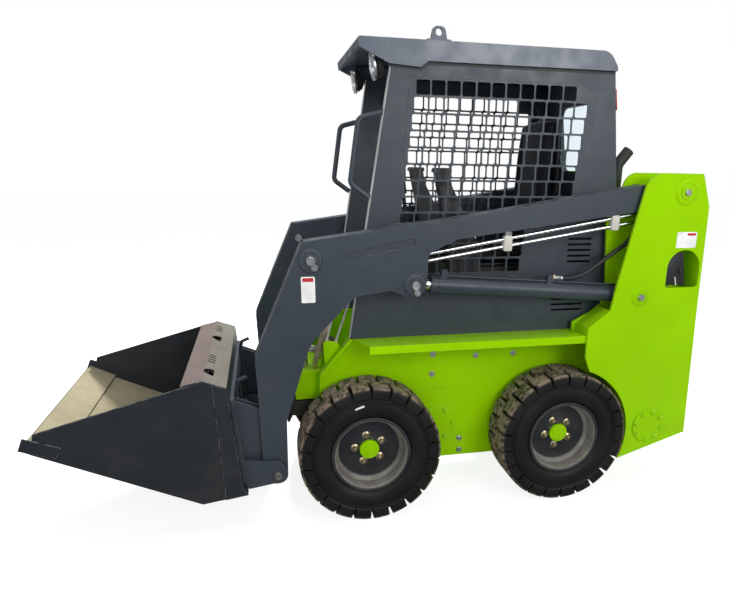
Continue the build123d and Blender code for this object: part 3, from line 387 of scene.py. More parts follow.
def painted(name, colour, shade, roughness, edge, edge_wear_and_highlight_share, dust_share, radius=0.0018):
    """Sprayed enamel: two tones of a colour, orange peel, edges in the edge colour and dust low down and on
    top. The edge colour is bare metal where paint rubs off, except on the lime, where it is a painted
    highlight.
    """
    made, tree, shader, place = new_material(name, colour, roughness)
    normal, near_edge = rounded_edges(tree, radius)
    tone = blend_colours(tree, mottle(tree, place, TONE_SCALE, 3, 0.3, 0.7), colour, shade)
    # Where the paint's edges are rubbed bare. On the lime, whose edge colour is a lighter lime, this paints
    # a highlight along the edges
    worn = product(tree, near_edge, mottle(tree, place, RUB_SCALE, 5, 0.42, 0.62, 0.0, edge_wear_and_highlight_share))
    tone = blend_colours(tree, worn, tone, edge)
    facing_up = ramp(tree, face_parts(tree)["Z"], 0.3, 0.95)
    low_down = ramp(tree, parts_of(tree, place)["Z"], *reversed(DUSTY_HEIGHT))
    dusty = sums(tree, "MAXIMUM", product(tree, facing_up, 0.55), low_down)
    patchy = product(tree, dusty, mottle(tree, place, PATCH_SCALE, 6, 0.35, 0.75, 0.0, dust_share))
    link_in(tree, blend_colours(tree, patchy, tone, DUST), shader.inputs["Base Color"])
    rough = mottle(tree, place, GLOSS_SCALE, 5, 0.25, 0.75, roughness - 0.07, roughness + 0.1)
    link_in(tree, sums(tree, "ADD", rough, product(tree, patchy, 0.3)), shader.inputs["Roughness"])
    bump(tree, shader, noise(tree, place, PEEL_SCALE, 2), PEEL_DEPTH, normal)
    return made


def hush_gloss(made, level, tint=(1, 1, 1)):
    """Weaken and tint a material's white reflection, which would wash out a strong colour."""
    shader = made.node_tree.nodes["Principled BSDF"]
    shader.inputs["Specular IOR Level"].default_value = level
    shader.inputs["Specular Tint"].default_value = (*tint, 1)


def paint_sheen_on_sides(made, dark):
    """Leave a paint's pale tone on what faces sideways, as a painted reflection of the pale sky, and make it
    dark and less glossy on top.
    """
    tree = made.node_tree
    shader = tree.nodes["Principled BSDF"]
    across = face_parts(tree, "Normal")["Y"]
    sideways = product(tree, across, across)
    colour = shader.inputs["Base Color"]
    link_in(tree, blend_colours(tree, sideways, dark, colour.links[0].from_socket), colour)
    link_in(tree, ramp(tree, sideways, 0, 1, 0.1, 0.55), shader.inputs["Specular IOR Level"])


# %% The machine's enamels
PALE_GREY = (0.50, 0.50, 0.50)
# The lime's edge colour is a lighter lime, a painted highlight along its edges
lime = painted("lime_enamel", (0.34, 0.70, 0.001), (0.29, 0.61, 0.001), 0.34, (0.70, 0.90, 0.20), 0.8, 0.05)
hush_gloss(lime, 0.3, (0.75, 1.0, 0.05))
slate = painted("slate_enamel", (0.040, 0.053, 0.068), (0.031, 0.042, 0.056), 0.40, (0.38, 0.36, 0.32),
                0.8, 0.06)
# The roof's slate is lighter than the cab's, and where it stays on the roof's sides it is a painted
# reflection of the pale sky
slate_roof_painted_sheen = painted("slate_roof_painted_sheen", (0.082, 0.104, 0.140), (0.066, 0.086, 0.118), 0.30, PALE_GREY, 0.7, 0.04)
paint_sheen_on_sides(slate_roof_painted_sheen, (0.026, 0.034, 0.045))
rim_black = painted("rim_enamel", (0.016, 0.019, 0.026), (0.012, 0.014, 0.019), 0.38, (0.25, 0.25, 0.25),
                    0.5, 0.15)
black_steel = painted("black_steel", (0.018, 0.018, 0.019), (0.026, 0.025, 0.024), 0.55, (0.2, 0.18, 0.15),
                      0.5, 0.35)
print("enamels:", lime.name, slate.name, rim_black.name, black_steel.name)

# %% [markdown]
# ## The bucket's worn steel
#
# Loads have scoured the bucket's floor and the beam over its mouth to pale tan steel. A painted picture
# would need the bucket unwrapped, so masks in frame coordinates do it: they find the floor, the beam's top
# and the lip in front of it, and leave the slate everywhere else.

# %% Bucket enamel and scoured steel
slate_bucket = painted("slate_bucket", (0.0165, 0.021, 0.027), (0.013, 0.017, 0.022), 0.46,
                       (0.42, 0.40, 0.35), 1.0, 0.07, 0.0026)
hush_gloss(slate_bucket, 0.35)
SCOURED, BEAM_WORN, LIP_WORN = (0.36, 0.315, 0.205), (0.19, 0.172, 0.138), (0.185, 0.14, 0.125)
# The floor rises forward from its start, and bare steel begins some way ahead of its back, which stays slate
FLOOR_SLOPE, FLOOR_START_X, FLOOR_START_Z = 0.469, AXLE_X + 0.663, 0.168
BARE_FROM, BARE_BY = AXLE_X + 0.60, AXLE_X + 0.80
BUCKET_INSIDE = 0.4715
BEAM_HEIGHT = 0.585
LIP_X = AXLE_X + 0.629


def within(tree, value, low, high, soft):
    """1 where a value lies between two limits, with soft ends."""
    return product(tree, ramp(tree, value, low, low + soft), ramp(tree, value, high, high - soft))


def scour(made):
    """Lay bare steel over the enamel's colour on the bucket's floor, beam and lip."""
    tree = made.node_tree
    shader = tree.nodes["Principled BSDF"]
    place = tree.nodes.new("ShaderNodeTexCoord").outputs["Object"]
    (x, y, z), facing_z = parts_of(tree, place), face_parts(tree)["Z"]
    inside = within(tree, y, -BUCKET_INSIDE, BUCKET_INSIDE, 0.0005)
    floor_line = product(tree, sums(tree, "SUBTRACT", x, FLOOR_START_X), FLOOR_SLOPE)
    over_floor = sums(tree, "SUBTRACT", sums(tree, "SUBTRACT", z, FLOOR_START_Z), floor_line)
    upward = ramp(tree, facing_z, 0.6, 0.7)
    floor_mask = product(tree, within(tree, over_floor, -0.003, 0.022, 0.001), upward)
    floor_mask = product(tree, floor_mask, ramp(tree, x, BARE_FROM, BARE_BY))
    high_up = ramp(tree, z, BEAM_HEIGHT, BEAM_HEIGHT + 0.005)
    beam_mask = product(tree, high_up, ramp(tree, facing_z, 0.3, 0.5))
    lip_mask = product(tree, beam_mask, ramp(tree, x, LIP_X, LIP_X + 0.003))
    patches = mottle(tree, place, 6, 6, 0.3, 0.7)
    speckle = mottle(tree, place, 90, 4, 0.35, 0.7)
    for mask, worn in ((floor_mask, SCOURED), (beam_mask, BEAM_WORN), (lip_mask, LIP_WORN)):
        shaded, dark = tuple(0.75 * part for part in worn), tuple(0.55 * part for part in worn)
        pale = blend_colours(tree, product(tree, patches, 0.8), worn, shaded)
        pale = blend_colours(tree, product(tree, speckle, 0.35), pale, dark)
        repaint(tree, shader, product(tree, mask, inside), pale)


scour(slate_bucket)
print("bucket floor, beam and lip are bare")

# %% [markdown]
# ## Metal, rubber, plastic and glass
#
# What isn't painted is plated or chromed steel, moulded rubber or plastic, or glass. Metal gets marks along
# one axis in its roughness, as a lathe leaves them. Rubber and plastic get a pebbled grain in the bump. The
# window's glass has a low index, because a thin pane hardly bends the light.


# %% Bare metals
def bare_metal(name, colour, roughness, streaks=(1, 1, 1)):
    """Turned or drawn metal with fine marks along one axis and faint tarnish."""
    made, tree, shader, place = new_material(name, colour, roughness, 1.0)
    tarnish = tuple(part * 0.72 for part in colour)
    tone = blend_colours(tree, mottle(tree, place, 60, 4, 0.4, 0.7), colour, tarnish)
    link_in(tree, tone, shader.inputs["Base Color"])
    marks = noise(tree, place, 300, 2, streaks)
    rough = ramp(tree, marks, 0.3, 0.7, roughness - 0.05, roughness + 0.12)
    link_in(tree, rough, shader.inputs["Roughness"])
    bump(tree, shader, marks, 0.00003)
    return made


chrome = bare_metal("hard_chrome", (0.80, 0.80, 0.79), 0.12, (0.2, 6, 0.2))
zinc = bare_metal("bright_zinc", (0.60, 0.61, 0.62), 0.30)
dull_zinc = bare_metal("dull_zinc", (0.11, 0.125, 0.145), 0.45)
yellow_zinc = bare_metal("yellow_zinc", (0.60, 0.51, 0.34), 0.30)
raw_steel = bare_metal("raw_steel", (0.36, 0.34, 0.32), 0.42, (4, 0.4, 4))
print("metals:", chrome.name, zinc.name, dull_zinc.name, yellow_zinc.name, raw_steel.name)


# %% Rubber, plastic and glass
def grained(name, colour, roughness, grain, depth):
    """Moulded rubber or plastic with a fine pebbled grain."""
    made, tree, shader, place = new_material(name, colour, roughness)
    pale = tuple(part * 1.5 + 0.004 for part in colour)
    tone = blend_colours(tree, mottle(tree, place, 7, 4, 0.4, 0.8), colour, pale)
    link_in(tree, tone, shader.inputs["Base Color"])
    bump(tree, shader, noise(tree, place, grain, 2), depth)
    return made


def see_through(name, colour, roughness, share, index=1.5):
    """Glass or a clear lens that lets this share of the light pass."""
    made, _, shader, _ = new_material(name, colour, roughness)
    shader.inputs["Transmission Weight"].default_value = share
    shader.inputs["IOR"].default_value = index
    return made


black_plastic = grained("black_plastic", (0.012, 0.013, 0.014), 0.42, 900, 0.0001)
hose_rubber = grained("hose_rubber", (0.013, 0.013, 0.013), 0.5, 700, 0.0001)
seat_vinyl = grained("seat_vinyl", (0.006, 0.0075, 0.010), 0.45, 1100, 0.00015)
hush_gloss(seat_vinyl, 0.12)
window_glass = see_through("window_glass", (0.82, 0.91, 0.97), 0.02, 1.0, 1.1)
red_lens = see_through("red_lens", (0.55, 0.01, 0.01), 0.15, 0.35)
print("rubber, plastics and glass are ready")

# %% [markdown]
# ## Which solid wears which finish
#
# The frame is sprayed lime and the cab, boom and bucket slate. What is plated, moulded or of rubber stays
# unpainted. The same sorting is a short table here, from which each solid gets its one material.

# %% Finishes on the solids
FINISHES = {
    lime: ("chassis", "tower_left", "tower_right"),
    slate: ("boom_arm_left", "boom_arm_right", "boom_cross_member", "cab_side_left", "cab_side_right",
            "cab_grille_left", "cab_grille_right", "cab_rear", "engine_hood", "rear_door",
            "lift_barrel_left", "lift_barrel_right", "tilt_barrel_left", "tilt_barrel_right", "coupler",
            "grab_handles"),
    slate_roof_painted_sheen: ("cab_roof",),
    slate_bucket: ("bucket",),
    black_steel: ("front_step", "axle_front", "axle_rear", "engine_block", "seat_base", "exhaust"),
    chrome: ("lift_rod_left", "lift_rod_right", "tilt_rod_left", "tilt_rod_right", "boom_tubes"),
    hose_rubber: ("lift_hose_left", "lift_hose_right"),
    black_plastic: ("control_console_left", "control_console_right"),
    dull_zinc: ("lifting_eyes",),
    window_glass: ("rear_window",),
}
for finish, nodes in FINISHES.items():
    for node in nodes:
        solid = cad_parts[node]
        solid.data.materials.clear()
        solid.data.materials.append(finish)
print(sum(len(nodes) for nodes in FINISHES.values()), "solids finished")

# %% [markdown]
# ## Making shapes
#
# A few short helpers carry most pieces: a lathe for what is round, a plate for what is cut from sheet, a
# tube for bent pipe, and a Geometry Nodes tree that sets copies of a small item on a list of places. The
# tree ends in real geometry, which is taken over as a plain mesh, and the modifier goes.


# %% Taking a mesh over
def add_piece(name, mesh, body, finish, smooth_angle=35.0):
    """Link a mesh as a piece that rides on a body, shaded smooth below this angle."""
    piece = bpy.data.objects.new(name, mesh)
    scene.collection.objects.link(piece)
    mesh.materials.clear()
    mesh.materials.append(finish)
    mesh.shade_smooth()
    mesh.set_sharp_from_angle(angle=math.radians(smooth_angle))
    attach(piece, body)
    return piece


def finished_mesh(name, shape):
    """Turn a bmesh into a mesh with its normals outward."""
    bmesh.ops.recalc_face_normals(shape, faces=shape.faces)
    mesh = bpy.data.meshes.new(name)
    shape.to_mesh(mesh)
    shape.free()
    return mesh


def joined(name, meshes):
    """Several meshes as one."""
    shape = bmesh.new()
    for mesh in meshes:
        shape.from_mesh(mesh)
    return finished_mesh(name, shape)


def made_real(holder):
    """The mesh of an object with its modifiers applied."""
    return bpy.data.meshes.new_from_object(holder.evaluated_get(bpy.context.evaluated_depsgraph_get()))


# %% Lathe, plate and tube
def skin(shape, rows):
    """Faces between closed rows of vertices. A row of one vertex is a pole."""
    for first, second in zip(rows, rows[1:]):
        for step in range(max(len(first), len(second))):
            corners = [first[step % len(first)], first[(step + 1) % len(first)],
                       second[(step + 1) % len(second)], second[step % len(second)]]
            shape.faces.new(dict.fromkeys(corners))


def ring_row(shape, along, radius, steps):
    """Vertices round the Y axis at this distance along it, both in millimetres."""
    return [shape.verts.new((x * MM, along * MM, z * MM)) for x, z in circle_of((0, 0), radius, steps)]


def lathe_mesh(name, profile, steps, centre=ORIGIN, turn=OUTWARD[1]):
    """Spin a profile of (distance along the axis, radius) about +Y, then turn and place it."""
    shape = bmesh.new()
    skin(shape, [ring_row(shape, along, radius, steps if radius else 1) for along, radius in profile])
    bmesh.ops.rotate(shape, cent=ORIGIN, matrix=turn, verts=shape.verts)
    bmesh.ops.translate(shape, vec=centre, verts=shape.verts)
    return finished_mesh(name, shape)


def plate_mesh(name, outline, outer, thick, edge=0.8, sign=1):
    """A plate with this side-view outline, this far out on its side, its edges rubbed by a small bevel."""
    shape = bmesh.new()
    left_face = outer if sign > 0 else thick - outer
    near = shape.faces.new([shape.verts.new(place) for place in on_side(outline, left_face)])
    grown = bmesh.ops.extrude_face_region(shape, geom=[near])
    corners = [part for part in grown["geom"] if isinstance(part, bmesh.types.BMVert)]
    bmesh.ops.translate(shape, vec=(0, -thick * MM, 0), verts=corners)
    if edge:
        bmesh.ops.bevel(shape, geom=list(shape.edges), offset=edge * MM, segments=2, affect="EDGES",
                        profile=0.5)
    return finished_mesh(name, shape)


def tube_mesh(name, places, radius, bend=None):
    """Pipe along these points, its corners rounded by a curve of order 3."""
    curve = bpy.data.curves.new(name, "CURVE")
    curve.dimensions = "3D"
    line = curve.splines.new("NURBS")
    points = [places[0]]
    for before, corner, after in zip(places, places[1:], places[2:]):
        reach = (bend or 4 * radius) * MM
        points.append(corner + (before - corner).normalized() * min(reach, (before - corner).length / 2))
        points.append(corner)
        points.append(corner + (after - corner).normalized() * min(reach, (after - corner).length / 2))
    points.append(places[-1])
    line.points.add(len(points) - 1)
    for point, place in zip(line.points, points):
        point.co = (*place, 1)
    line.order_u = 3
    line.use_endpoint_u = True
    line.resolution_u = 6
    curve.bevel_depth = radius * MM
    curve.bevel_resolution = 4
    curve.use_fill_caps = True
    holder = bpy.data.objects.new(name, curve)
    scene.collection.objects.link(holder)
    mesh = made_real(holder)
    bpy.data.objects.remove(holder)
    return mesh


def axis_turn(direction):
    """The turn that takes the lathe's axis to a direction."""
    return Vector((0, 1, 0)).rotation_difference(direction).to_matrix()


# %% The tree that sets copies
# The tree's named inputs, and the kind of each
TREE_INPUTS = {"Geometry": "NodeSocketGeometry", "Item": "NodeSocketObject", "Turn": "NodeSocketVector",
               "Turn by": "NodeSocketVector", "Finish": "NodeSocketMaterial"}


def copying_tree():
    """A tree that sets an item on each point, turned, and turned by a little more at each next point."""
    tree = bpy.data.node_groups.new("copying", "GeometryNodeTree")
    tree.interface.new_socket("Geometry", in_out="OUTPUT", socket_type="NodeSocketGeometry")
    for label, kind in TREE_INPUTS.items():
        tree.interface.new_socket(label, in_out="INPUT", socket_type=kind)
    start, end = tree.nodes.new("NodeGroupInput").outputs, tree.nodes.new("NodeGroupOutput")
    fetch, spread = tree.nodes.new("GeometryNodeObjectInfo"), tree.nodes.new("GeometryNodeInstanceOnPoints")
    real, paint = tree.nodes.new("GeometryNodeRealizeInstances"), tree.nodes.new("GeometryNodeSetMaterial")
    index, turns = tree.nodes.new("GeometryNodeInputIndex"), tree.nodes.new("ShaderNodeVectorMath")
    turns.operation = "MULTIPLY_ADD"
    for socket, source in zip(turns.inputs, (index.outputs[0], start["Turn by"], start["Turn"])):
        link_in(tree, source, socket)
    link_in(tree, start["Item"], fetch.inputs["Object"])
    link_in(tree, start["Geometry"], spread.inputs["Points"])
    link_in(tree, fetch.outputs["Geometry"], spread.inputs["Instance"])
    link_in(tree, turns.outputs[0], spread.inputs["Rotation"])
    link_in(tree, spread.outputs[0], real.inputs[0])
    link_in(tree, real.outputs[0], paint.inputs["Geometry"])
    link_in(tree, start["Finish"], paint.inputs["Material"])
    link_in(tree, paint.outputs[0], end.inputs[0])
    return tree


copying = copying_tree()


def copied_mesh(name, item, places, turn, turn_by, finish):
    """The tree's copies of an item mesh on a list of places, as one plain mesh."""
    spots = bpy.data.meshes.new(name + "_spots")
    spots.from_pydata(places, [], [])
    holder = bpy.data.objects.new(name + "_spots", spots)
    source = bpy.data.objects.new(name + "_item", item)
    for made in (holder, source):
        scene.collection.objects.link(made)
    modifier = holder.modifiers.new("copies", "NODES")
    modifier.node_group = copying
    values = {"Item": source, "Turn": turn, "Turn by": turn_by, "Finish": finish}
    for socket in copying.interface.items_tree:
        if socket.name in values:
            modifier[socket.identifier] = values[socket.name]
    mesh = made_real(holder)
    mesh.name = name
    bpy.data.objects.remove(holder)
    bpy.data.objects.remove(source)
    return mesh


FACETED = 25


def copies(name, item, places, sign, body, finish):
    """One piece of an item's copies on a list of places, pointing left or right."""
    turn = (0.0 if sign > 0 else math.pi, 0.0, 0.0)
    mesh = copied_mesh(name, item, places, turn, (0.0, 0.0, 0.0), finish)
    return add_piece(name, mesh, body, finish, FACETED)


print("lathe, plate, tube and copies are ready")

# %% [markdown]
# ## Tyres with two rows of staggered blocks
#
# One block is drawn as a section across the tread, bent round its share of the circle and bevelled. A ring
# of twenty-two makes a row, and the outer row runs half a block ahead of the inner one, so that the tyre
# rolls evenly. The vertices carry a wear value, 1 on the tread and 0 on the sidewall, which the rubber uses
# for its dry brown dust.

# %% Tyre rubber with dusty tread
TREAD_DUST = (0.29, 0.225, 0.16)
worn_rubber, rubber, rubber_shader, rubber_place = new_material("worn_rubber", (0.012, 0.012, 0.013), 0.62)
wear = rubber.nodes.new("ShaderNodeAttribute")
wear.attribute_name = "wear"
grit = mottle(rubber, rubber_place, 55, 8, 0.30, 0.60)
smears = mottle(rubber, rubber_place, 12, 4, 0.22, 0.5)
dusty_share = product(rubber, wear.outputs["Fac"], product(rubber, grit, smears))
black = blend_colours(rubber, mottle(rubber, rubber_place, 6, 4, 0.35, 0.75), (0.007, 0.0075, 0.007),
                      (0.014, 0.0145, 0.013))
link_in(rubber, blend_colours(rubber, dusty_share, black, TREAD_DUST), rubber_shader.inputs["Base Color"])
link_in(rubber, ramp(rubber, dusty_share, 0, 1, 0.5, 0.85), rubber_shader.inputs["Roughness"])
bump(rubber, rubber_shader, noise(rubber, rubber_place, 260, 4), 0.0004)
hush_gloss(worn_rubber, 0.25)
print("tyre rubber is ready")

# %% One tread block
LUGS, LUG_SHARE = 22, 0.81
TYRE_RADIUS = 292.0
TREAD_BASE = 266.0
BLOCK_BENDS, BLOCK_LEAN = 4, 0.10
BLOCK_BEVEL, SHARP_CORNER = 2.2, 0.6
TYRE_STEPS = 6 * LUGS
# Wear starts at this radius and is full this much further out
WEAR_FROM, WEAR_OVER = 283, 5
BLOCK = ((2, TREAD_BASE - 6), (2, 289.5), (6, 291.6), (50, 291.8), (82, 290.8), (87.5, 287), (90, 279),
         (90.8, 262), (90.2, 246), (86, 240), (70, 252))
SIDEWALL = ((74.5, 150), (74.6, 164), (79, 169), (85.5, 178), (89, 192), (90, 208), (89, 222), (86, 234),
            (86.5, 238), (84, 243), (78, 254), (66, TREAD_BASE - 1), (0, TREAD_BASE))
# A thin moulded ring on each sidewall, below the blocks
MOULDED_RING = ((88, 229), (91, 231), (91, 233), (87, 236))


def block_mesh(side):
    """One tread block on this side of the middle, centred at the top of the wheel."""
    shape = bmesh.new()
    spread = LUG_SHARE * 2 * math.pi / LUGS
    rows = []
    for bend in range(BLOCK_BENDS + 1):
        angle = math.pi / 2 + spread * (bend / BLOCK_BENDS - 0.5)
        # Only the block's two ends lean back a little towards its foot
        lean = BLOCK_LEAN * {0: 1, BLOCK_BENDS: -1}.get(bend, 0)
        row = []
        for across, radius in BLOCK:
            turned = angle - (TYRE_RADIUS - radius) / TYRE_RADIUS * lean
            row.append(shape.verts.new(Vector((radius * math.cos(turned), side * across,
                                               radius * math.sin(turned))) * MM))
        rows.append(row)
    skin(shape, rows)
    shape.faces.new(rows[0])
    shape.faces.new(list(reversed(rows[-1])))
    sharp = [edge for edge in shape.edges if edge.calc_face_angle(0) > SHARP_CORNER]
    bmesh.ops.bevel(shape, geom=sharp, offset=BLOCK_BEVEL * MM, segments=2, affect="EDGES", profile=0.6)
    return finished_mesh("tread_block", shape)


def row_of_blocks(side, ahead):
    """A ring of blocks round the Y axis by the copying tree, this share of a block ahead."""
    pitch = 2 * math.pi / LUGS
    first, step = (0.0, ahead * pitch, 0.0), (0.0, pitch, 0.0)
    return copied_mesh("ring", block_mesh(side), [ORIGIN] * LUGS, first, step, worn_rubber)


print(LUGS, "blocks in each row")

# %% The tyres
tread_half = SIDEWALL[:-1]
carcass = lathe_mesh("carcass", (*tread_half, *((-y, r) for y, r in reversed(tread_half))), TYRE_STEPS)
blocks = [row_of_blocks(1, 0.5), row_of_blocks(-1, 0.0)]
rings = [lathe_mesh("ring", [(side * y, r) for y, r in MOULDED_RING], TYRE_STEPS) for side in (1, -1)]
tyre_mesh = joined("tyre", [carcass, *blocks, *rings])
wear_values = tyre_mesh.attributes.new("wear", "FLOAT", "POINT")
radii = [math.hypot(vertex.co.x, vertex.co.z) / MM for vertex in tyre_mesh.vertices]
wear_values.data.foreach_set("value", [min(1, max(0, (radius - WEAR_FROM) / WEAR_OVER)) for radius in radii])
for end, side, sign in WHEELS:
    node = f"tyre_{end}_{side}"
    made = tyre_mesh.copy()
    made.name = f"tread_{end}_{side}"
    made.transform(Matrix.Translation(middle(node)) @ Matrix.Diagonal((1, sign, 1, 1)))
    if sign < 0:
        made.flip_normals()
    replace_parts(add_piece(f"tread_{end}_{side}", made, f"wheel_{end}_{side}", worn_rubber, 30), node)
print("four tyres of", len(tyre_mesh.polygons), "faces")

# %% [markdown]
# ## Wheel centres
#
# Each rim is turned again by the lathe, with a rolled lip, a stepped barrel and a flat disc. The barrel's
# inside is bare grey under brown dust, which a vertex value marks. On the disc go a lime hub cap and five
# plated nuts.

# %% Rims
BEAD_SEAT = ((82, 158.5), (80.8, 161.6), (78.5, 163), (76.8, 161.5), (76, 156), (75, 150.5), (60, 149))
DISC = ((21, 0), (20, 30), (17, 40), (11, 45), (9, 49), (9, 121), (10, 126), (14, 131))
BARREL = ((25, 142), (60, 142.5), (66, 144.5), (72, 145), (76, 147.5), (79.5, 152), (82, 154))
INSIDE = ((-82, 146), (-78, 143), (-6, 143), (-2, 138), (-1, 123), (-1, 44), (-21, 44), (-21, 25.1),
          (7, 25.1), (7, 0))
RIM = (*DISC, *BARREL, *BEAD_SEAT, *((-y, radius) for y, radius in reversed(BEAD_SEAT)), *INSIDE)
RIM_STEPS = 96
# The barrel lies between these radii, outward of this depth
BARREL_FROM, BARREL_TO, BARREL_DEPTH = 127, 150, 10
barrel_tree = rim_black.node_tree
barrel = barrel_tree.nodes.new("ShaderNodeAttribute")
barrel.attribute_name = "barrel"
barrel_place = barrel_tree.nodes.new("ShaderNodeTexCoord").outputs["Object"]
BARE_GREY, BROWN_DUST = (0.26, 0.25, 0.22), (0.17, 0.155, 0.13)
barrel_dust = mottle(barrel_tree, barrel_place, 16, 5, 0.3, 0.7)
barrel_tone = blend_colours(barrel_tree, barrel_dust, BARE_GREY, BROWN_DUST)
repaint(barrel_tree, barrel_tree.nodes["Principled BSDF"], barrel.outputs["Fac"], barrel_tone)


def on_barrel(spot, sign):
    """1 for a place on the barrel's inside, counted in millimetres from the rim's middle."""
    return float(BARREL_FROM < math.hypot(spot.x, spot.z) < BARREL_TO and spot.y * sign > BARREL_DEPTH)


for end, side, sign in WHEELS:
    centre = middle(f"rim_{end}_{side}")
    rim_mesh = lathe_mesh("rim", RIM, RIM_STEPS, centre, OUTWARD[sign])
    bare = rim_mesh.attributes.new("barrel", "FLOAT", "POINT")
    spots = [(vertex.co - centre) / MM for vertex in rim_mesh.vertices]
    bare.data.foreach_set("value", [on_barrel(spot, sign) for spot in spots])
    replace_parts(add_piece(f"rim_turned_{end}_{side}", rim_mesh, f"wheel_{end}_{side}", rim_black, 30),
                f"rim_{end}_{side}")
print("four rims turned")

# %% Hub caps and nuts
NUTS, NUT_CIRCLE = 5, 60.0
FIRST_NUT = {"front": math.radians(78), "rear": math.radians(64)}
# The disc's outer face lies this far in from the rim's outer edge, and a nut stands a hair off it
DISC_DEPTH, NUT_GAP = 73, 0.2
WASHER_THICK = 2.2
HUB_CAP = ((0, 40), (1, 41.5), (14, 41.5), (17, 40), (18, 38), (18.4, 0))


def hex_item(name, across, height, washer=0.0, dome=0.25):
    """Hexagon head along +Y with its corners turned off, on a washer if asked."""
    shape = bmesh.new()
    radius = across / 2 / math.cos(math.pi / 6)
    rows = [ring_row(shape, along, radius * scale, 6)
            for along, scale in ((0, 1), (height * (1 - dome), 1), (height, 0.86))]
    skin(shape, rows)
    shape.faces.new(rows[-1])
    shape.faces.new(rows[0])
    if washer:
        disc = bmesh.ops.create_cone(shape, cap_ends=True, segments=20, radius1=washer * MM,
                                     radius2=washer * MM, depth=WASHER_THICK * MM)["verts"]
        bmesh.ops.rotate(shape, cent=ORIGIN, matrix=Matrix.Rotation(math.pi / 2, 3, "X"), verts=disc)
        bmesh.ops.translate(shape, vec=(0, WASHER_THICK / 2 * MM, 0), verts=disc)
    return finished_mesh(name, shape)


# %% Dressing the hubs
# A wheel nut on a coned washer, its stud standing out of it
cone = lathe_mesh("cone", ((0, 18), (2.5, 17.5), (6, 12), (6, 0)), 24)
stud = lathe_mesh("stud", ((8, 6), (19, 6), (20, 5), (20, 0)), 16)
wheel_nut = joined("wheel_nut", [cone, hex_item("nut", 18, 15), stud])
for end, side, sign in WHEELS:
    body = f"wheel_{end}_{side}"
    hub = middle(f"rim_{end}_{side}")
    hub.y = sign * (reach_of(f"rim_{end}_{side}", sign) - DISC_DEPTH) * MM
    cap = lathe_mesh("hub_cap", HUB_CAP, 56, hub, OUTWARD[sign])
    add_piece(f"hub_cap_{end}_{side}", cap, body, lime, 40)
    nuts = [hub + Vector((x, sign * NUT_GAP, z)) * MM
            for x, z in circle_of((0, 0), NUT_CIRCLE, NUTS, FIRST_NUT[end])]
    copies(f"wheel_nuts_{end}_{side}", wheel_nut, nuts, sign, body, yellow_zinc)
print("hub caps and", NUTS * len(WHEELS), "nuts")

# %% [markdown]
# ## Bolts, covers and pin heads
#
# Plated bolts hold the side plates and covers, and a larger one sits in the middle of each loader pin. A
# table says which item stands where, how far out, which way it points and what it rides on, so that the
# copying tree can set each list on both sides.

# %% Fasteners
TOWER_FACE, ARM_FACE, ARM_INSIDE, CHASSIS_FACE, COVER_THICK = 445, 422, 340, 270, 6
BOOM_PIVOT, LIFT_BASE = (-1316, 1335), (-1156, 904)
TILT_BASE, LIFT_EYE, BUCKET_PIVOT = (218, 1082), (-182, 978), (374, 230)
small_head, pin_head = hex_item("small_head", 17, 8, 13), hex_item("pin_head", 27, 9, 0, 0.35)
# A round cap with a turned rim and a socket
PIN_CAP = ((0, 17), (7, 17), (9, 15.5), (9, 11), (7.5, 10), (7.5, 5), (4, 4.5), (4, 0))
pin_cap = lathe_mesh("pin_cap", PIN_CAP, 36)
TOWER_COVER, SIDE_COVER = circle_of((-1272, 310), 64, 8, 0.2), circle_of((-326, 327), 70, 6)
CHASSIS_BOLTS = ((-300, 648), (-494, 633), (-668, 634), (-297, 559), (-430, 247), (-432, 190))
# A keeper bolt beside each of the arm's pins
KEEPERS = ((205, 1057), (-189, 950))
# The tower's pin bolts sit a little sunk in their pins
SUNK = 2
tower, arm, coupler = (reach_of(node, 1) for node in ("tower_left", "boom_arm_left", "coupler"))
# Name, item, places, how far out, 1 to point outward or -1 inward, body and finish
FASTENERS = (
    ("tower_cover_bolts", small_head, TOWER_COVER, TOWER_FACE + COVER_THICK, 1, "root", lime),
    ("chassis_bolts", small_head, CHASSIS_BOLTS, CHASSIS_FACE, 1, "root", zinc),
    ("side_cover_bolts", small_head, SIDE_COVER, CHASSIS_FACE + COVER_THICK, 1, "root", lime),
    ("tower_pin_bolts", pin_head, (BOOM_PIVOT, LIFT_BASE), tower - SUNK, 1, "root", zinc),
    ("arm_pin_caps", pin_cap, (TILT_BASE, LIFT_EYE), arm, 1, "boom", zinc),
    ("arm_inner_caps", pin_cap, (TILT_BASE, LIFT_EYE), ARM_INSIDE, -1, "boom", zinc),
    ("arm_keeper_bolts", small_head, KEEPERS, arm, 1, "boom", zinc),
    ("bucket_pin_cap", pin_cap, (BUCKET_PIVOT,), coupler, 1, "bucket", raw_steel),
)
for side, sign in SIDES:
    for name, item, places, out, way, body, finish in FASTENERS:
        copies(f"{name}_{side}", item, on_side(places, sign * out), sign * way, body, finish)
print("bolts are on")

# %% [markdown]
# ## Weld rings round the pins
#
# Where a pin's boss meets its plate the real machine has a weld bead all round. A lathe profile gives it its
# low, rounded back.

# %% Pin rings
# Name, centre, plate face, outer and inner radius, body and finish
PIN_RINGS = (
    ("boom_pivot", BOOM_PIVOT, TOWER_FACE, 52, 42, "root", lime),
    ("lift_base", LIFT_BASE, TOWER_FACE, 40, 31, "root", lime),
    ("tilt_base", TILT_BASE, ARM_FACE, 46, 37, "boom", slate),
    ("lift_eye", LIFT_EYE, ARM_FACE, 46, 37, "boom", slate),
)
for side, sign in SIDES:
    for name, (x, z), face, outer, inner, body, finish in PIN_RINGS:
        section = ((0, outer), (1.6, outer - 0.6), (4.4, outer - 4), (5.5, inner + 1.5), (5.6, inner))
        bead = lathe_mesh(name, section, 60, at(x, sign * face, z), OUTWARD[sign])
        add_piece(f"{name}_weld_{side}", bead, body, finish, 60)
print("pin rings are on")

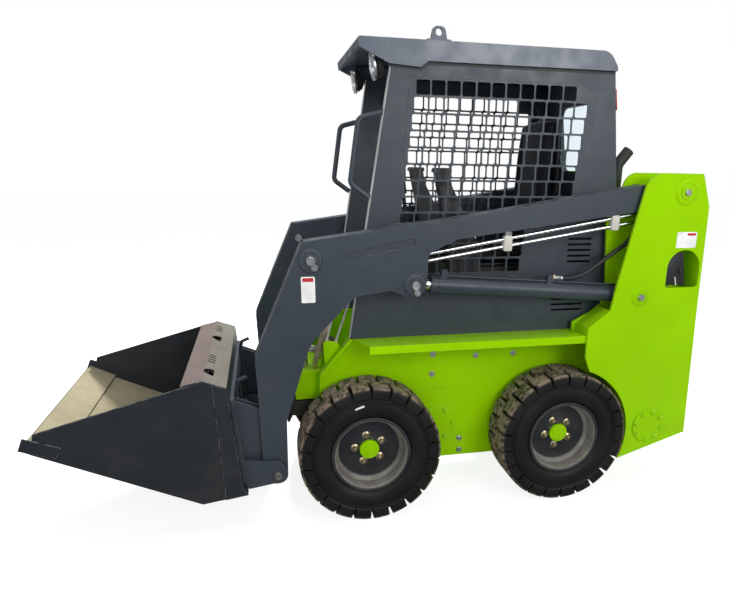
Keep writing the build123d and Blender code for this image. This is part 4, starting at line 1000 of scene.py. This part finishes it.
# %% [markdown]
# ## Blank plates
#
# The machine wears one small plate on each tower and one on each boom leg. They are thin sheet with round
# corners, and they stay blank: white with a plain red band.

# %% Plates
white_plate = grained("plate_white", (0.80, 0.80, 0.79), 0.35, 600, 0.00003)
red_band = grained("plate_red", (0.50, 0.012, 0.02), 0.35, 600, 0.00003)
PLATE_THICK, BAND_THICK = 1.0, 0.4
PLATE_CORNER, BAND_CORNER = 5, 2
# Name, the plate's two corners, the band's two corners, the face it lies on and its body
PLATES = (
    ("tower_plate", (-1391, 1109), (-1297, 1175), (-1385, 1160), (-1345, 1170), TOWER_FACE, "root"),
    ("boom_plate", (204, 924), (256, 1023), (210, 1004), (250, 1018), ARM_FACE, "boom"),
)


def rounded_outline(low, high, radius, steps=4):
    """A rectangle between two corners in side view, with round corners."""
    outline = []
    rear, front = low[0] + radius, high[0] - radius
    foot, top = low[1] + radius, high[1] - radius
    for quarter, (x, z) in enumerate(((front, top), (rear, top), (rear, foot), (front, foot))):
        for step in range(steps + 1):
            angle = (quarter + step / steps) * math.pi / 2
            outline.append((x + radius * math.cos(angle), z + radius * math.sin(angle)))
    return outline


for side, sign in SIDES:
    for name, low, high, band_low, band_high, face, body in PLATES:
        out = face + PLATE_THICK
        plate = plate_mesh(name, rounded_outline(low, high, PLATE_CORNER), out, PLATE_THICK, 0, sign)
        add_piece(f"{name}_{side}", plate, body, white_plate)
        outline = rounded_outline(band_low, band_high, BAND_CORNER)
        band = plate_mesh(name + "_band", outline, out + BAND_THICK, BAND_THICK, 0, sign)
        add_piece(f"{name}_band_{side}", band, body, red_band)
print("plates are blank")

# %% [markdown]
# ## Hydraulic lines and clamps
#
# The tubes along the left arm sit in pale clamps, and the lift cylinder's hose leaves through a crimped
# ferrule with a plated hexagon behind it. Both stand on the cylinder's own lean, so the lathe's axis is
# turned to it before they are placed.

# %% Clamps, ferrules and fittings
cream = grained("cream_plastic", (0.62, 0.60, 0.52), 0.4, 700, 0.00005)
TUBE_FRONT, TUBE_REAR = (-200, 1091), (-1127, 1247)
CLAMP_HALF, CLAMP_OUT, CLAMP_THICK = 17, 413, 24
tube_slope = (TUBE_REAR[1] - TUBE_FRONT[1]) / (TUBE_REAR[0] - TUBE_FRONT[0])
for name, x in (("front", -561), ("rear", -1025)):
    tube_z = TUBE_FRONT[1] + (x - TUBE_FRONT[0]) * tube_slope
    outline = rounded_outline((x - CLAMP_HALF, tube_z - 48), (x + CLAMP_HALF, tube_z + 13), 6)
    add_piece(f"tube_clamp_{name}", plate_mesh("clamp", outline, CLAMP_OUT, CLAMP_THICK, 1.2), "boom", cream)

# The hose starts this far out, and this far over the barrel's axis
HOSE_OUT, HOSE_OVER = 381, 54
FERRULE = ((-1, 0), (-1, 11), (6, 11.6), (7, 10.4), (20, 10.4), (21, 11.4), (24, 10.4), (27, 11.4),
           (30, 10.4), (33, 11.4), (36, 10.4), (40, 11.2), (46, 10.4), (47, 9.2))
lean = math.atan2(LIFT_EYE[1] - LIFT_BASE[1], LIFT_EYE[0] - LIFT_BASE[0])
turn = axis_turn(Vector((-math.cos(lean), 0, -math.sin(lean))))
for side, sign in SIDES:
    body = f"lift_barrel_{side}"
    start = at(LIFT_BASE[0], sign * HOSE_OUT, LIFT_BASE[1] + HOSE_OVER / math.cos(lean))
    hose_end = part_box(f"lift_hose_{side}")[1].x
    start.z += (hose_end - start.x) * math.tan(lean)
    start.x = hose_end
    add_piece(f"hose_ferrule_{side}", lathe_mesh("ferrule", FERRULE, 24, start, turn), body, zinc)
    nut = hex_item("hose_nut", 26, 13)
    nut.transform(Matrix.Translation(start) @ turn.to_4x4())
    add_piece(f"hose_nut_{side}", nut, body, yellow_zinc, FACETED)
print("hydraulic fittings are on")

# %% [markdown]
# ## Work lamps
#
# Each lamp is a finned dark housing on a flat strap, with a bright bezel and a bowl of a reflector behind
# clear glass. All but the strap are lathe profiles on one tipped axis, and each kind is joined across the
# two lamps.

# %% Lamps
reflector = bare_metal("reflector", (0.86, 0.87, 0.88), 0.08)
lens_glass = see_through("lens_glass", (0.96, 0.98, 1.0), 0.06, 0.75, 1.25)
LAMP_TIP = math.radians(9.5)
LAMP_PLACE = (-43, 250, 1778)
HOUSING = ((-44, 0), (-44, 22), (-41, 26), (-38, 26), (-38, 34), (-34, 34), (-34, 28), (-31, 28),
           (-31, 38), (-27, 38), (-27, 32), (-24, 32), (-24, 42), (-20, 42), (-20, 36), (-16, 38),
           (-12, 46), (-2, 47.5), (-2, 44))
BEZEL = ((-10, 47), (-9, 49.5), (-2, 50), (0, 48.5), (0, 46), (-3, 45), (-4, 44))
MIRROR = ((-30, 0), (-29, 10), (-24, 24), (-14, 36), (-5, 44.5))
LENS = ((-4, 45), (-1.5, 44), (1, 36), (3, 24), (4.2, 12), (4.6, 0))
# A plate's outline, how far out it lies, its thickness and its bevel
STRAP = ((-65, 1778), (-57, 1778), (-57, 1844), (-65, 1844)), LAMP_PLACE[1] + 15, 30, 1.0
tipped = axis_turn(Vector((math.cos(LAMP_TIP), 0, -math.sin(LAMP_TIP))))


def both_lamps(part, profile):
    """One turned part of both lamps."""
    x, out, z = LAMP_PLACE
    return [lathe_mesh(part, profile, 56, at(x, sign * out, z), tipped) for _, sign in SIDES]


straps = [plate_mesh("strap", *STRAP, sign) for _, sign in SIDES]
housings = joined("lamp_housings", both_lamps("housing", HOUSING) + straps)
housing = add_piece("lamp_housings", housings, "root", black_steel, 30)
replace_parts(housing, "work_lamps")
LAMP_PARTS = (("bezel", BEZEL, zinc), ("mirror", MIRROR, reflector), ("lens", LENS, lens_glass))
for part, profile, finish in LAMP_PARTS:
    add_piece(f"lamp_{part}s", joined(part, both_lamps(part, profile)), "root", finish, 30)
print("work lamps are in")

# %% [markdown]
# ## Seat cushions
#
# The seat's base and back are stuffed pads on a moulded shell. Each starts as a slim form, is blown up as
# cloth between its sewn seams, which are pinned, and no point may move further than the cap.

# %% Seat
VOXEL, PRESSURE, PUFF_CAP = 6 * MM, 4.0, 11 * MM
PAD_BEVEL = 13
STEPS = 20
SEAM_HALF, SEAM_OUT = 4.0, 98
BASE_TOP, BASE_CROSS_SEAM, BASE_FRONT_ROLL = 1050, -585, -420
BACK_FRONT, BACK_FOOT, BACK_CROSS_SEAMS = -825, 1120, (1240, 1420)


def puffed(name, outline, half, in_seam, lowest):
    """A stuffed pad, sewn where in_seam says and resting on what is at the lowest height."""
    pad = bpy.data.objects.new(name, plate_mesh(name, outline, half, 2 * half, PAD_BEVEL))
    scene.collection.objects.link(pad)
    pad.modifiers.new("voxels", "REMESH").voxel_size = VOXEL
    pad.data = made_real(pad)
    pad.modifiers.clear()
    starts = [vertex.co.copy() for vertex in pad.data.vertices]
    sewn = [index for index, start in enumerate(starts)
            if in_seam((start.x - AXLE_X) / MM, start.y / MM, start.z / MM)]
    pad.vertex_groups.new(name="sewn").add(sewn, 1, "REPLACE")
    cloth = pad.modifiers.new("cloth", "CLOTH")
    cloth.settings.use_pressure = True
    cloth.settings.uniform_pressure_force = PRESSURE
    cloth.settings.effector_weights.gravity = 0
    cloth.settings.vertex_group_mass = "sewn"
    for step in range(1, STEPS + 1):
        scene.frame_set(step)
    pad.data = made_real(pad)
    pad.modifiers.clear()
    scene.frame_set(1)
    for vertex, start in zip(pad.data.vertices, starts):
        move = vertex.co - start
        vertex.co = start + move * min(1, PUFF_CAP / max(move.length, 1e-9))
        vertex.co.z = max(vertex.co.z, lowest * MM)
    pad.modifiers.new("smooth", "SUBSURF").render_levels = 1
    mesh = made_real(pad)
    bpy.data.objects.remove(pad)
    print(name, len(sewn), "points sewn")
    return mesh


def base_seams(x, y, z):
    """Two seams lengthwise and one across the base pad's top."""
    along = abs(abs(y) - SEAM_OUT) < SEAM_HALF and x < BASE_FRONT_ROLL
    across = abs(x - BASE_CROSS_SEAM) < SEAM_HALF and abs(y) < SEAM_OUT
    return z > BASE_TOP and (along or across)


def back_seams(x, y, z):
    """Two seams upright and two across the back pad's front."""
    upright = abs(abs(y) - SEAM_OUT) < SEAM_HALF and z > BACK_FOOT
    across = min(abs(z - seam) for seam in BACK_CROSS_SEAMS) < SEAM_HALF and abs(y) < SEAM_OUT
    return x > BACK_FRONT and (upright or across)


# %% The two pads and their shell
BASE_PAD = ((-399, 1034), (-411, 1082), (-700, 1066), (-768, 1064), (-764, 1024), (-424, 1024))
BACK_PAD = ((-800, 1096), (-800, 1330), (-812, 1612), (-850, 1612), (-860, 1330), (-840, 1096))
SHELL = ((-424, 1007), (-404, 1019), (-790, 1019), (-836, 1090), (-866, 1330), (-859, 1624), (-871, 1624),
         (-879, 1330), (-859, 1007))
SHELL_HALF = 166
# Name, outline, half width, seams and the height that the pad rests on
PADS = (("seat_cushion", BASE_PAD, 160, base_seams, 1019.5), ("seat_back", BACK_PAD, 158, back_seams, 1082))
for name, outline, half, in_seam, lowest in PADS:
    pad = add_piece(name, puffed(name, outline, half, in_seam, lowest), "root", seat_vinyl, 60)
    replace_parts(pad, "seat")
shell = plate_mesh("seat_shell", SHELL, SHELL_HALF, 2 * SHELL_HALF, 1.5)
add_piece("seat_shell", shell, "root", black_plastic, 30)
print("seat is padded")

# %% [markdown]
# ## Struts and pipes at the front of the cab
#
# On each side two gas struts stand on a lug welded to the footwell's edge and lean up to the cab wall. Ahead
# of them a plated bracket carries the pedal valve, and three steel pipes run from it down into the nose.

# %% Struts
pale_steel = grained("pale_steel", (0.42, 0.42, 0.39), 0.35, 500, 0.00003)
# Each plate's outline, how far out it lies and its thickness
LUG = ((100, 692), (158, 624), (164, 650), (166, 718), (153, 728), (112, 721), (100, 708)), 258, 6
GUSSET = ((-30, 985), (-30, 1070), (60, 1062), (84, 1040), (60, 1018), (10, 990)), 274, 6
STRUTS = (((153, 715), (68, 1040)), ((117, 708), (-2, 1040)))
STRUT_OUT = 245
ROD = ((-9, 0), (-9, 8), (16, 8), (22, 4.5), (200, 4.5), (200, 0))


def strut_pin(place, reach, sign):
    """The pin through a strut's eye, reaching out to what carries it."""
    return lathe_mesh("pin", ((-8, 0), (-8, 5), (reach, 5), (reach, 0)), 20, place, OUTWARD[sign])


def strut_pair(side, sign):
    """One side's two struts, with the lug below them and the gusset above."""
    add_piece(f"strut_lug_{side}", plate_mesh("lug", *LUG, sign=sign), "root", lime, 30)
    add_piece(f"strut_gusset_{side}", plate_mesh("gusset", *GUSSET, sign=sign), "root", slate, 30)
    rods, tubes = [], []
    for foot, head in (on_side(strut, sign * STRUT_OUT) for strut in STRUTS):
        turn = axis_turn((head - foot).normalized())
        long = (head - foot).length / MM
        tube = ((190, 0), (190, 9), (194, 10), (long - 12, 10), (long - 8, 6), (long + 8, 6), (long + 8, 0))
        rods.append(lathe_mesh("rod", ROD, 24, foot, turn))
        rods.extend([strut_pin(foot, 10, sign), strut_pin(head, 26, sign)])
        tubes.append(lathe_mesh("tube", tube, 28, foot, turn))
    add_piece(f"strut_rods_{side}", joined("strut_rods", rods), "root", pale_steel, 40)
    add_piece(f"strut_tubes_{side}", joined("strut_tubes", tubes), "root", black_steel, 40)


print(len(STRUTS), "struts are drawn for each side")

# %% Pedal valve and pipes, each side after its struts
steel_pipe = bare_metal("steel_pipe", (0.42, 0.41, 0.39), 0.32)
# Each plate's outline, how far out it lies, its thickness and its bevel
BRACKET = ((186, 592), (214, 592), (196, 668), (176, 735), (165, 788), (118, 838), (104, 826), (132, 762),
           (140, 700)), 203, 5, 0.8
VALVE = ((170, 640), (170, 708), (150, 716), (112, 716), (104, 700), (104, 652), (116, 640)), 198, 52, 3
# How far out each pipe runs, and its way in side view
PIPES = {
    184: ((244, 592), (244, 684), (172, 684), (150, 696)),
    168: ((258, 592), (258, 671), (168, 668), (150, 668)),
    156: ((230, 592), (230, 660), (196, 655), (160, 650)),
}
PIPE_RADIUS, PIPE_BEND = 5.5, 26
for side, sign in SIDES:
    strut_pair(side, sign)
    add_piece(f"pedal_bracket_{side}", plate_mesh("bracket", *BRACKET, sign), "root", yellow_zinc, 30)
    add_piece(f"pedal_valve_{side}", plate_mesh("valve", *VALVE, sign), "root", black_steel, 30)
    runs = [tube_mesh("pipe", on_side(run, sign * out), PIPE_RADIUS, PIPE_BEND)
            for out, run in PIPES.items()]
    add_piece(f"pedal_pipes_{side}", joined("pedal_pipes", runs), "root", steel_pipe, 50)
print("struts, pedal valves and pipes are in")

# %% [markdown]
# ## Cab strips, port valves and tail lamps
#
# Thin things finish the cab: a pale strip down each door post's front edge, a painted highlight where that
# edge catches the light, a thin black strip under the roof's edge, and lenses on the tail lamps. Behind each
# tower's port sits a black valve with a plug and a pale lead. All are flat or round, so the plate, the lathe
# and the tube make them.

# %% Cab strips and port valves
# A pale grey for the door posts' front edges, a painted highlight where they catch the light
painted_highlight_grey = grained("painted_highlight_grey", (0.40, 0.40, 0.39), 0.4, 700, 0.00004)
VALVE_OUT, LEAD_OUT = 435, 437
# A strip on each door post's front edge, painted pale as a highlight
# Each plate's outline, how far out it lies, its thickness and its bevel
POST_HIGHLIGHT = ((60, 746), (63, 746), (-107, 1795.5), (-110, 1795.5)), 302, 28, 0
# A thin black strip along the roof's lower edge
ROOF_STRIP = ((-99, 1783), (-218, 1775), (-246, 1796), (-1022, 1796), (-1022, 1786), (-250, 1786), (-224, 1765),
        (-102, 1773)), 303.5, 1.5, 0
PORT_VALVE = ((-1250, 950), (-1250, 1075), (-1300, 1085), (-1345, 1088), (-1358, 1010),
              (-1370, 950)), VALVE_OUT, 8, 1.5
PORT_PLUG, PLUG_PLACE = ((-2, 0), (-2, 13), (4, 13), (6, 11), (6, 0)), (-1343, 1013)
# A fold along the chassis's side plate, drawn as a thin bead
SIDE_SEAM, THIN = ((-222, 494), (-610, 493)), 2.5
for side, sign in SIDES:
    add_piece(f"door_trim_{side}", plate_mesh("post_highlight", *POST_HIGHLIGHT, sign), "root", painted_highlight_grey)
    add_piece(f"roof_seal_{side}", plate_mesh("strip", *ROOF_STRIP, sign), "root", hose_rubber)
    plug_place = at(PLUG_PLACE[0], sign * VALVE_OUT, PLUG_PLACE[1])
    plug = lathe_mesh("plug", PORT_PLUG, 24, plug_place, OUTWARD[sign])
    port_valve = joined("port_valve", [plate_mesh("valve", *PORT_VALVE, sign), plug])
    add_piece(f"port_valve_{side}", port_valve, "root", black_plastic, 30)
    lead = [*on_side(((-1316, 985), (-1322, 965)), sign * LEAD_OUT), at(-1326, sign * (LEAD_OUT - 1), 951)]
    add_piece(f"port_lead_{side}", tube_mesh("lead", lead, THIN), "root", cream, 60)
    seam = tube_mesh("seam", on_side(SIDE_SEAM, sign * CHASSIS_FACE), THIN)
    add_piece(f"side_seam_{side}", seam, "root", lime, 60)
print("trim and port valves are on")

# %% Tail lamps and the tyre's mark
lamp_low, lamp_high = (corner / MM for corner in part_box("tail_lamps"))
TAIL_OUT, TAIL_WIDE, TAIL_DEEP = 245, 44, 30
tail_lean = lamp_high.x - lamp_low.x - TAIL_DEEP


def lamp_slab(front, back, inset):
    """A slab along the tail lamp's lean, between two depths behind the cab wall, one for each side."""
    top = lamp_high.x - AXLE_X / MM
    foot = top - tail_lean
    low, high = lamp_low.z + inset, lamp_high.z - inset
    outline = [(top - front, high), (foot - front, low), (foot - back, low), (top - back, high)]
    out, wide = TAIL_OUT + TAIL_WIDE / 2 - inset, TAIL_WIDE - 2 * inset
    return joined("slabs", [plate_mesh("slab", outline, out, wide, 2, sign) for _, sign in SIDES])


tail_housing = add_piece("tail_lamp_housings", lamp_slab(0, 21, 0), "root", black_plastic)
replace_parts(tail_housing, "tail_lamps")
add_piece("tail_lamp_lenses", lamp_slab(21, 29.5, 5), "root", red_lens)
# A blank white mark on the front left tyre's sidewall
TYRE_MARK = ((65, 503), (31, 515), (29, 507), (67, 495)), 472.5, 6, 0
add_piece("tyre_mark", plate_mesh("mark", *TYRE_MARK), "wheel_front_left", white_plate)
print("tail lamps are on")
